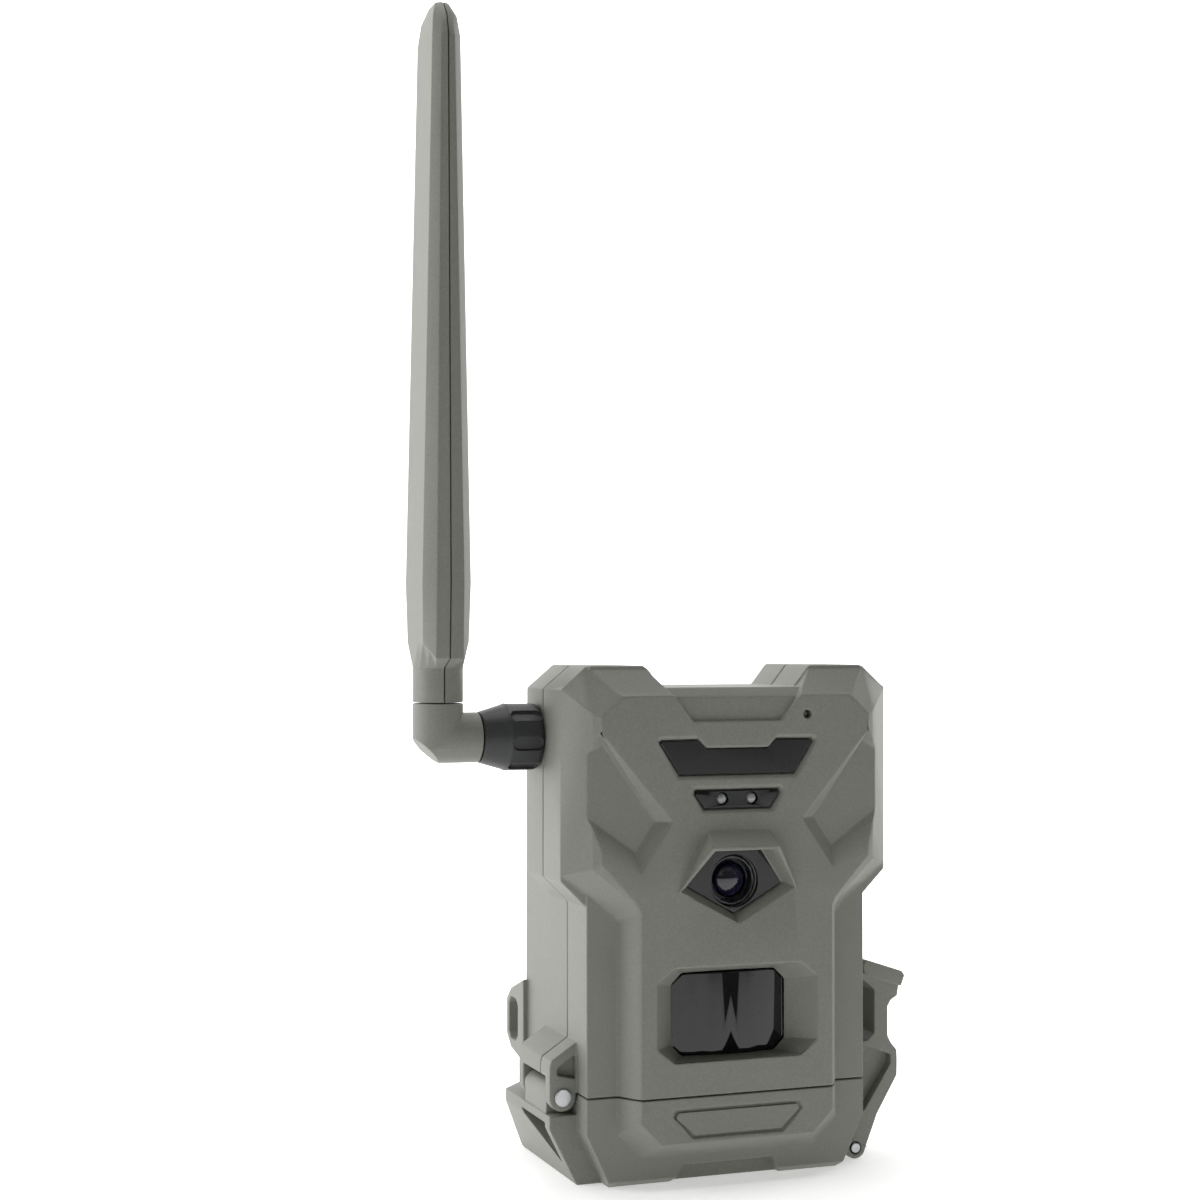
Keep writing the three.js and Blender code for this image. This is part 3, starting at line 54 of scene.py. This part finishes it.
TRIANGLES_INSIDE = 1  # it gives back triangles inside the outline
PLANE_MERGE = 1e-5  # its smallest distance between two points
AREA_SLACK = 0.005  # share of its area by which a filled face may be off
ROUNDING_TRIES = 6
ROUNDING_SEGMENTS = 2
ROUNDING_REACH = 2.6  # radii from its edge within which a rounding stays, or else it has gone astray
ROUNDED_ANGLE = math.radians(24)  # a sharper edge than this gets a radius
CREASE_ANGLE = math.radians(46)  # a sharper edge than this stays a crease in the shading
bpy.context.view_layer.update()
body_of_node = {n: b for b, nodes in frame["record"]["behaviour"]["bodies"].items() for n in nodes}


# --- shader building ---------------------------------------------------------


class Socket:
    """An output of a shader node that takes part in Python expressions on values."""

    def __init__(self, finish, output):
        self.finish = finish
        self.output = output

    def _math(self, operation, first, second):
        return self.finish.add("Math", {"operation": operation}, {0: first, 1: second})

    def __add__(self, other):
        return self._math("ADD", self, other)

    def __radd__(self, other):
        return self._math("ADD", other, self)

    def __sub__(self, other):
        return self._math("SUBTRACT", self, other)

    def __rsub__(self, other):
        return self._math("SUBTRACT", other, self)

    def __mul__(self, other):
        return self._math("MULTIPLY", self, other)

    def __rmul__(self, other):
        return self._math("MULTIPLY", other, self)

    def __truediv__(self, other):
        return self._math("DIVIDE", self, other)

    def __gt__(self, other):
        return self._math("GREATER_THAN", self, other)

    def __lt__(self, other):
        return self._math("LESS_THAN", self, other)


class Finish:
    """A material made of nodes, with the helpers that every finish shares."""

    def __init__(self, name, uniform):
        self.material = bpy.data.materials.new(name)
        self.material.use_nodes = True
        self.tree = self.material.node_tree
        self.shader = self.tree.nodes["Principled BSDF"]
        for socket, value in uniform.items():
            self.shader.inputs[socket].default_value = value

    def add(self, kind, settings=None, inputs=None, output=0):
        node = self.tree.nodes.new("ShaderNode" + kind)
        for name, value in (settings or {}).items():
            if name == "stops":
                ramp = node.color_ramp
                for _ in value[2:]:
                    ramp.elements.new(1.0)
                for element, (place, colour) in zip(ramp.elements, value):
                    element.position = place
                    element.color = rgba(colour)
            else:
                setattr(node, name, value)
        for key, value in (inputs or {}).items():
            self.feed(node.inputs[key], value)
        return Socket(self, node.outputs[output])

    def feed(self, socket, value):
        if isinstance(value, Socket):
            self.tree.links.new(value.output, socket)
        else:
            socket.default_value = value

    def set(self, **inputs):
        for name, value in inputs.items():
            self.feed(self.shader.inputs[name.replace("_", " ")], value)

    def place(self):
        return self.add("TexCoord", output="Object")

    def noise(self, scale, detail=2.0, roughness=0.5, where=None):
        return self.add("TexNoise", None, {"Vector": where or self.place(), "Scale": scale,
                                           "Detail": detail, "Roughness": roughness})

    def ramp(self, value, stops):
        return self.add("ValToRGB", {"stops": stops}, {0: value})

    def mix(self, share, first, second):
        return self.add("Mix", {"data_type": "RGBA"}, {0: share, 6: first, 7: second}, output=2)

    def axis(self, letter):
        return self.add("SeparateXYZ", None, {0: self.place()}, output=letter)

    def bump(self, height, depth):
        normal = self.add("Bump", None, {"Height": height, "Distance": depth, "Strength": 1.0})
        self.feed(self.shader.inputs["Normal"], normal)


def linear(value):
    """A screen value from 0 to 255 in linear light."""
    if value > 10:
        return ((value / 255 + 0.055) / 1.055) ** 2.4
    return value / 255 / 12.92


def shade(red, green, blue):
    return tuple(linear(value) for value in (red, green, blue))


def rgba(colour):
    return (*colour, 1.0)


def scaled(colour, factor):
    return tuple(c * factor for c in colour)


def grained_plastic(name, colour, roughness, depth, grain=2300, mottle=0.06):
    """Spark-eroded moulding: a fine stipple with pores in it, and a slow drift of shade."""
    finish = Finish(name, {"Specular IOR Level": 0.5})
    stipple = finish.noise(grain, 3.0, 0.62)
    pores = finish.noise(grain / 3.1, 2.0, 0.5)
    drift = finish.noise(26, 3.0, 0.55)
    tone = finish.ramp(drift, [(0.3, scaled(colour, 1 - mottle)), (0.7, scaled(colour, 1 + mottle))])
    speckle = finish.ramp(stipple, [(0.36, scaled(colour, 0.83)), (0.66, scaled(colour, 1.17))])
    finish.set(Base_Color=finish.mix(0.5, tone, speckle),
               Roughness=roughness + 0.14 * (stipple - 0.5) + 0.1 * (drift - 0.5))
    finish.bump(stipple * 0.7 + pores * 0.5, depth)
    return finish.material


def gloss(name, colour, roughness, coat=0.6):
    """Polished moulding or pane, with faint haze and a little dust."""
    finish = Finish(name, {"Specular IOR Level": 0.35, "Coat Roughness": 0.04})
    haze = finish.noise(90, 4.0, 0.6)
    dust = finish.noise(1500, 1.0, 0.5) > 0.74
    finish.set(Base_Color=finish.mix(dust * 0.25, rgba(colour), rgba(scaled(colour, 3.0))),
               Roughness=roughness + 0.05 * haze + 0.25 * dust, Coat_Weight=coat - 0.3 * dust)
    finish.bump(finish.noise(220, 1.0, 0.5), 0.004 * MM)
    return finish.material


def metal(name, colour, roughness, stretch=(1.0, 1.0, 1.0)):
    """Turned or rolled metal, with fine lines along the way that it was worked."""
    finish = Finish(name, {"Metallic": 1.0})
    along = finish.add("VectorMath", {"operation": "MULTIPLY"}, {0: finish.place(), 1: stretch})
    lines = finish.noise(3000, 2.0, 0.6, along)
    stain = finish.noise(140, 4.0, 0.6)
    finish.set(Base_Color=finish.ramp(stain, [(0.3, scaled(colour, 0.82)), (0.7, scaled(colour, 1.05))]),
               Roughness=roughness + 0.2 * (lines - 0.5) + 0.12 * (stain - 0.5))
    finish.bump(lines, 0.012 * MM)
    return finish.material


def circuit_board(name):
    """Green solder mask over tracks, with tinned pads and vias."""
    finish = Finish(name, {})
    where = finish.place()
    flat = finish.add("VectorMath", {"operation": "MULTIPLY"}, {0: where, 1: (1.0, 0.0, 1.0)})
    tracks = finish.add("TexBrick", {"offset": 0.37, "squash": 1.6, "squash_frequency": 3},
                        {"Vector": flat, "Scale": 210.0, "Mortar Size": 0.06, "Color1": (0, 0, 0, 1),
                         "Color2": (0, 0, 0, 1), "Mortar": (1, 1, 1, 1)}, output="Fac")
    spots = finish.add("TexVoronoi", {"feature": "F1"}, {"Vector": flat, "Scale": 330.0}) < 0.17
    green = finish.mix(tracks, rgba(shade(18, 66, 38)), rgba(shade(38, 104, 62)))
    finish.set(Base_Color=finish.mix(spots, green, rgba(shade(196, 196, 188))), Metallic=spots * 0.9,
               Roughness=0.42 - 0.1 * spots + 0.1 * finish.noise(400))
    finish.bump(tracks + spots, 0.02 * MM)
    return finish.material


def cell_wrap(name, foot, top):
    """Shrink wrap in two shades round a battery cell, with bare metal at both ends."""
    finish = Finish(name, {})
    height = finish.axis("Z")
    middle = (foot + top) / 2
    bare = (height < foot + 0.7 * MM) + (height > top - 1.6 * MM)
    band = height > middle + 9 * MM
    crinkle = finish.noise(700, 3.0, 0.6)
    wrap = finish.mix(band, rgba(shade(34, 38, 44)), rgba(shade(176, 128, 66)))
    finish.set(Base_Color=finish.mix(bare, wrap, rgba(shade(190, 192, 194))),
               Metallic=0.25 + 0.7 * bare, Roughness=0.3 + 0.14 * crinkle)
    finish.bump(crinkle, 0.02 * MM)
    return finish.material


def lens_coating(name):
    """Dark glass whose base colour turns from blue through violet to grey at its rim with the facing
    angle: a painted reflection of its coating, with a painted sheen at the rim.
    """
    finish = Finish(name, {"IOR": 1.5, "Specular IOR Level": 0.5, "Coat Roughness": 0.02})
    facing = finish.add("LayerWeight", None, {"Blend": 0.35}, output="Facing")
    # painted reflection: base colour by facing angle, dark blue straight on, violet, then lighter grey
    # toward the rim as a painted sheen
    middle, inner, rim = shade(12, 14, 26), shade(34, 26, 60), shade(70, 84, 104)
    painted_reflection = finish.ramp(facing, [(0.0, middle), (0.35, inner), (0.8, rim)])
    haze = finish.noise(500, 2.0, 0.5)
    finish.set(Base_Color=painted_reflection, Roughness=0.03 + 0.04 * haze, Coat_Weight=1.0 - 0.2 * haze)
    finish.bump(haze, 0.002 * MM)
    return finish.material


def clear_plastic(name):
    """Water-clear epoxy with a faint swirl."""
    finish = Finish(name, {"IOR": 1.5, "Transmission Weight": 0.45, "Coat Roughness": 0.03})
    swirl = finish.noise(900, 3.0, 0.6)
    finish.set(Base_Color=finish.ramp(swirl, [(0.3, shade(186, 190, 196)), (0.7, shade(216, 220, 224))]),
               Roughness=0.05 + 0.08 * swirl, Coat_Weight=1.0 - 0.2 * swirl)
    finish.bump(swirl, 0.004 * MM)
    return finish.material


OLIVE = shade(132, 133, 125)
cell_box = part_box("cell_1")
finishes = {
    "olive_shell": grained_plastic("olive_shell", OLIVE, 0.5, 0.035 * MM),
    "charcoal_plastic": grained_plastic("charcoal_plastic", shade(50, 51, 52), 0.42, 0.03 * MM, 1900),
    "dark_liner": grained_plastic("dark_liner", shade(66, 67, 65), 0.55, 0.03 * MM, 1700),
    "black_rubber": grained_plastic("black_rubber", shade(26, 27, 27), 0.72, 0.05 * MM, 1300, 0.12),
    "gloss_black": gloss("gloss_black", shade(17, 18, 21), 0.1),
    "smoked_window": gloss("smoked_window", shade(10, 10, 12), 0.04),
    "steel": metal("steel", shade(196, 198, 200), 0.3, (1.0, 0.12, 1.0)),
    "brass": metal("brass", shade(206, 172, 98), 0.3, (1.0, 1.0, 0.12)),
    "circuit_board": circuit_board("circuit_board"),
    "clear_plastic": clear_plastic("clear_plastic"),
    "cell_wrap": cell_wrap("cell_wrap", cell_box[0].z, cell_box[1].z),
    "lens_coating": lens_coating("lens_coating"),
}


# --- pieces ------------------------------------------------------------------


def flat_regions(shape):
    """The connected groups of faces that lie in one plane."""
    seen = set()
    for start in shape.faces:
        if start in seen:
            continue
        seen.add(start)
        region, queue = [], [start]
        while queue:
            face = queue.pop()
            region.append(face)
            for edge in face.edges:
                for other in edge.link_faces:
                    if other not in seen and start.normal.angle(other.normal, math.pi) < FLAT_ANGLE:
                        seen.add(other)
                        queue.append(other)
        yield region


def whole_faces(region):
    """The outline of a flat region as the fewest faces that can hold it, each a list of its corners."""
    inside = set(region)
    rim = [e for f in region for e in f.edges if sum(g in inside for g in e.link_faces) == 1]
    corners = list({v: None for e in rim for v in e.verts})
    number = {v: i for i, v in enumerate(corners)}
    turn = max(region, key=lambda f: f.calc_area()).normal.rotation_difference(Vector((0, 0, 1)))
    flat = [(turn @ v.co).to_2d() for v in corners]
    links = [tuple(number[v] for v in e.verts) for e in rim]
    points, _, faces, source, _, _ = delaunay_2d_cdt(flat, links, [], WHOLE_WITH_HOLES, PLANE_MERGE)
    if len(points) != len(corners) or any(len(s) != 1 for s in source):
        return None
    cover = [[(turn @ v.co).to_2d() for v in f.verts] for f in region]
    kept = []
    for face in faces:
        ends = [points[i] for i in face]
        first = tessellate_polygon([[p.to_3d() for p in ends]])[0]
        middle = sum((ends[i] for i in first), Vector((0, 0))) / 3
        if any(intersect_point_tri_2d(middle, *triangle) for triangle in cover):
            kept.append([corners[source[i][0]] for i in face])
    return kept


def flat_sided(node):
    """The node's shape as an editable mesh in millimetres, with each flat face whole again."""
    shape = bmesh.new()
    shape.from_mesh(frame["nodes"][node].data)
    bmesh.ops.scale(shape, vec=(1 / MM,) * 3, verts=shape.verts)
    bmesh.ops.remove_doubles(shape, verts=shape.verts, dist=MERGE)
    bmesh.ops.dissolve_degenerate(shape, edges=shape.edges, dist=MERGE)
    bmesh.ops.triangulate(shape, faces=[f for f in shape.faces if len(f.verts) > 3])
    shape.normal_update()
    for region in list(flat_regions(shape)):
        faces = whole_faces(region) if len(region) > 1 else None
        if not faces:
            continue
        bmesh.ops.delete(shape, geom=region, context="FACES_KEEP_BOUNDARY")
        for corners in faces:
            if shape.faces.get(corners) is None:
                shape.faces.new(corners)
        shape.normal_update()
    loose = [e for e in shape.edges if not e.link_faces]
    bmesh.ops.delete(shape, geom=loose, context="EDGES")
    return shape


def points_along(edges, spacing):
    """A search tree of points along the edges, no further apart than the spacing."""
    points = []
    for edge in edges:
        first, second = (v.co for v in edge.verts)
        steps = max(1, math.ceil((second - first).length / spacing))
        points += [first.lerp(second, i / steps) for i in range(steps + 1)]
    tree = KDTree(len(points))
    for i, point in enumerate(points):
        tree.insert(point, i)
    tree.balance()
    return tree


def rounded(shape, radius):
    """The shape with its edges broken by a radius; an edge too crowded to take it stays sharp."""
    sharp = {e.index for e in shape.edges if e.is_manifold and e.calc_face_angle() > ROUNDED_ANGLE}
    corners = KDTree(len(shape.verts))
    for v in shape.verts:
        corners.insert(v.co, v.index)
    corners.balance()
    for _ in range(ROUNDING_TRIES):
        work = shape.copy()
        work.edges.ensure_lookup_table()
        edges = [work.edges[i] for i in sharp]
        if not edges:
            return work
        near_edge = points_along(edges, radius)
        bmesh.ops.bevel(work, geom=edges, offset=radius, offset_type="OFFSET", segments=ROUNDING_SEGMENTS,
                        profile=0.5, affect="EDGES", clamp_overlap=False, miter_outer="ARC")
        reach = ROUNDING_REACH * radius
        stray = {v for v in work.verts
                 if near_edge.find(v.co)[2] > reach and corners.find(v.co)[2] > MERGE}
        if not stray:
            return work
        crowded = set()
        for v in stray:
            for other in (e.other_vert(v) for e in v.link_edges):
                if other not in stray:
                    crowded.add(corners.find(other.co)[1])
        work.free()
        shape.verts.ensure_lookup_table()
        dropped = {e.index for i in crowded for e in shape.verts[i].link_edges} & sharp
        if not dropped:
            break
        sharp -= dropped
    return shape.copy()


def fill_evenly(shape):
    """Every many-sided face cut into triangles that stay inside its outline."""
    shape.normal_update()
    for face in [f for f in shape.faces if len(f.verts) > 4]:
        corners = list(face.verts)
        turn = face.normal.rotation_difference(Vector((0, 0, 1)))
        turned = [turn @ v.co for v in corners]
        height = sum(p.z for p in turned) / len(turned)
        outline = [p.to_2d() for p in turned]
        plain = sum(area_tri(*(outline[i] for i in t)) for t in tessellate_polygon([turned]))
        if abs(plain - face.calc_area()) < AREA_SLACK * plain:
            continue
        points, _, triangles, source, _, _ = delaunay_2d_cdt(
            outline, [], [list(range(len(outline)))], TRIANGLES_INSIDE, PLANE_MERGE)
        back = turn.inverted()
        at = [corners[s[0]] if s else shape.verts.new(back @ Vector((*p, height)))
              for p, s in zip(points, source)]
        shape.faces.remove(face)
        for triangle in triangles:
            ends = [at[i] for i in triangle]
            if shape.faces.get(ends) is None:
                shape.faces.new(ends)
    bmesh.ops.remove_doubles(shape, verts=shape.verts, dist=MERGE / 10)
    shape.normal_update()
    bmesh.ops.triangulate(shape, faces=shape.faces, ngon_method="EAR_CLIP")


def moulding(node, name, slot, radius, finish=None):
    """A piece that stands for a CAD node: the same shape with its edges broken by a real radius."""
    shape = flat_sided(node)
    shape.edges.index_update()
    shape.verts.index_update()
    if radius:
        sharp_sided = shape
        shape = rounded(sharp_sided, radius)
        sharp_sided.free()
    fill_evenly(shape)
    bmesh.ops.scale(shape, vec=(MM,) * 3, verts=shape.verts)
    mesh = bpy.data.meshes.new(name)
    shape.to_mesh(mesh)
    shape.free()
    piece = bpy.data.objects.new(name, mesh)
    bpy.context.scene.collection.objects.link(piece)
    mesh.materials.append(finishes[finish or slot])
    mesh.polygons.foreach_set("use_smooth", [True] * len(mesh.polygons))
    mesh.set_sharp_from_angle(angle=CREASE_ANGLE)
    even = piece.modifiers.new("faces", "WEIGHTED_NORMAL")
    even.weight = 80
    even.keep_sharp = True
    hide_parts(node)
    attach(piece, body_of_node[node])


# node, piece, record slot, edge radius in mm, finish where it isn't the slot's own
MOULDINGS = [
    ("front_housing", "front_housing_moulding", "olive_shell", 0.4),
    ("rear_housing", "rear_housing_moulding", "olive_shell", 0.4),
    ("battery_door", "battery_door_moulding", "olive_shell", 0.35),
    ("name_plate", "name_plate_inlay", "olive_shell", 0.2),
    ("latch_lever", "latch_lever_moulding", "olive_shell", 0.3),
    ("antenna_elbow", "antenna_elbow_moulding", "olive_shell", 0.3),
    ("blade_inner_half", "blade_inner_moulding", "olive_shell", 0.2),
    ("blade_outer_half", "blade_outer_moulding", "olive_shell", 0.2),
    ("antenna_nut", "antenna_nut_grip", "charcoal_plastic", 0.2),
    ("lens_plate", "lens_plate_pane", "gloss_black", 0.15),
    ("lens_barrel", "lens_barrel_ring", "gloss_black", 0.12),
    ("lens_glass", "lens_front_element", "clear_plastic", 0, "lens_coating"),
    ("led_window", "led_window_pane", "smoked_window", 0.15),
    ("lamp_window", "lamp_window_pane", "smoked_window", 0.15),
    ("lamp_left", "lamp_left_dome", "clear_plastic", 0),
    ("lamp_right", "lamp_right_dome", "clear_plastic", 0),
    ("sensor_window", "sensor_window_pane", "smoked_window", 0),
    ("hinge_pin", "hinge_pin_rod", "steel", 0.2),
    ("latch_pin", "latch_pin_rod", "steel", 0.2),
    ("door_gasket", "door_gasket_cord", "black_rubber", 0.2),
    ("power_socket", "power_socket_body", "charcoal_plastic", 0.1),
    ("socket_plug", "socket_plug_cap", "black_rubber", 0.3),
    ("bracket_insert", "bracket_insert_sleeve", "brass", 0.2),
    ("antenna_socket", "antenna_socket_thread", "brass", 0.15),
    ("battery_tray", "battery_tray_moulding", "charcoal_plastic", 0.25),
    ("contact_plate_top", "contact_plate_top_strip", "steel", 0.1),
    ("contact_plate_bottom", "contact_plate_bottom_strip", "steel", 0.1),
    ("power_button", "power_button_cap", "charcoal_plastic", 0.2),
    ("mode_button", "mode_button_cap", "charcoal_plastic", 0.2),
    ("memory_card", "memory_card_body", "charcoal_plastic", 0.1),
    ("card_slot", "card_slot_shell", "steel", 0.1),
    ("status_light", "status_light_pipe", "clear_plastic", 0),
]
for i in range(1, 5):
    MOULDINGS.append((f"housing_screw_{i}", f"housing_screw_head_{i}", "steel", 0.15))
for i in range(1, 9):
    MOULDINGS.append((f"cell_{i}", f"cell_{i}_wrapped", "cell_wrap", 0.4))

for moulded in MOULDINGS:
    moulding(*moulded)

# The small parts inside keep their plain shape and are only given a finish.
INNER = {
    "infrared_board": "circuit_board",
    "image_sensor_board": "circuit_board",
    "main_board": "circuit_board",
    "motion_sensor_can": "steel",
    "lens_holder": "dark_liner",
    "key_switch_strip": "black_rubber",
    "antenna_element": "brass",
}
for i in range(1, 5):
    INNER[f"board_screw_{i}"] = "steel"
for name, node in frame["nodes"].items():
    if node.hide_render:
        continue
    for place in node.material_slots:
        place.material = finishes[INNER.get(name, "charcoal_plastic")]


# --- floor, light and camera -------------------------------------------------


FLOOR_FRONT = -4.0
FLOOR_HALF = 5.0
BEND_START = 1.6
BEND_RADIUS = 1.2
BEND_STEPS = 16
WALL_TOP = 4.0


def sweep():
    """A pale floor that curves up into a wall behind the object, dimmer in front of it."""
    profile = [(FLOOR_FRONT, 0.0), (BEND_START, 0.0)]
    for i in range(1, BEND_STEPS + 1):
        turn = math.radians(90 * i / BEND_STEPS)
        profile.append((BEND_START + BEND_RADIUS * math.sin(turn), BEND_RADIUS * (1 - math.cos(turn))))
    profile.append((BEND_START + BEND_RADIUS, WALL_TOP))
    shape = bmesh.new()
    rows = [[shape.verts.new((x, y, z)) for y, z in profile] for x in (-FLOOR_HALF, FLOOR_HALF)]
    for i in range(len(profile) - 1):
        shape.faces.new((rows[0][i], rows[1][i], rows[1][i + 1], rows[0][i + 1]))
    mesh = bpy.data.meshes.new("floor")
    shape.to_mesh(mesh)
    shape.free()
    mesh.polygons.foreach_set("use_smooth", [True] * len(mesh.polygons))
    floor = bpy.data.objects.new("floor", mesh)
    bpy.context.scene.collection.objects.link(floor)
    paper = Finish("paper", {"Emission Strength": 1.3, "Specular IOR Level": 0.1})
    fibre = paper.noise(60, 3.0, 0.5)
    tone = paper.ramp(fibre, [(0.3, (0.86, 0.86, 0.855)), (0.7, (0.9, 0.9, 0.895))])
    depth = (paper.axis("Y") + 0.6) / 2.4
    glow = paper.ramp(depth, [(0.14, (0.2,) * 3), (0.3, (0.42,) * 3), (0.8, (1.0,) * 3)])
    paper.set(Base_Color=tone, Emission_Color=glow, Roughness=0.9 + 0.05 * fibre)
    mesh.materials.append(paper.material)


def soft_light(name, place, aim, width, height, power):
    lamp = bpy.data.lights.new(name, "AREA")
    lamp.shape = "RECTANGLE"
    lamp.size = width
    lamp.size_y = height
    lamp.energy = power
    holder = bpy.data.objects.new(name, lamp)
    bpy.context.scene.collection.objects.link(holder)
    holder.location = place
    holder.rotation_euler = (Vector(aim) - Vector(place)).to_track_quat("-Z", "Y").to_euler()


sweep()
soft_light("left_strip", (-1.1, 0.25, 0.5), (0, 0, 0.12), 0.5, 1.4, 7)
soft_light("right_strip", (1.1, 0.35, 0.45), (0, 0, 0.1), 0.5, 1.2, 6)
soft_light("overhead", (0.0, 0.1, 1.3), (0, 0, 0.1), 1.0, 0.7, 8)
soft_light("front_fill", (-0.9, -1.5, 1.1), (0, 0, 0.1), 1.2, 1.2, 1.5)

world = bpy.data.worlds.new("studio")
bpy.context.scene.world = world
world.use_nodes = True
world.node_tree.nodes["Background"].inputs["Color"].default_value = (0.5, 0.5, 0.5, 1)
world.node_tree.nodes["Background"].inputs["Strength"].default_value = 0.2

camera_data = bpy.data.cameras.new("camera")
camera_data.sensor_width = 36
camera_data.lens = 63.28
camera_data.clip_end = 50
camera = bpy.data.objects.new("camera", camera_data)
bpy.context.scene.collection.objects.link(camera)
camera.location = (-0.22717, -0.54363, 0.14423)
camera.rotation_euler = (math.radians(91.03), 0, math.radians(-20.19))
bpy.context.scene.camera = camera
bpy.context.scene.view_settings.view_transform = "Standard"
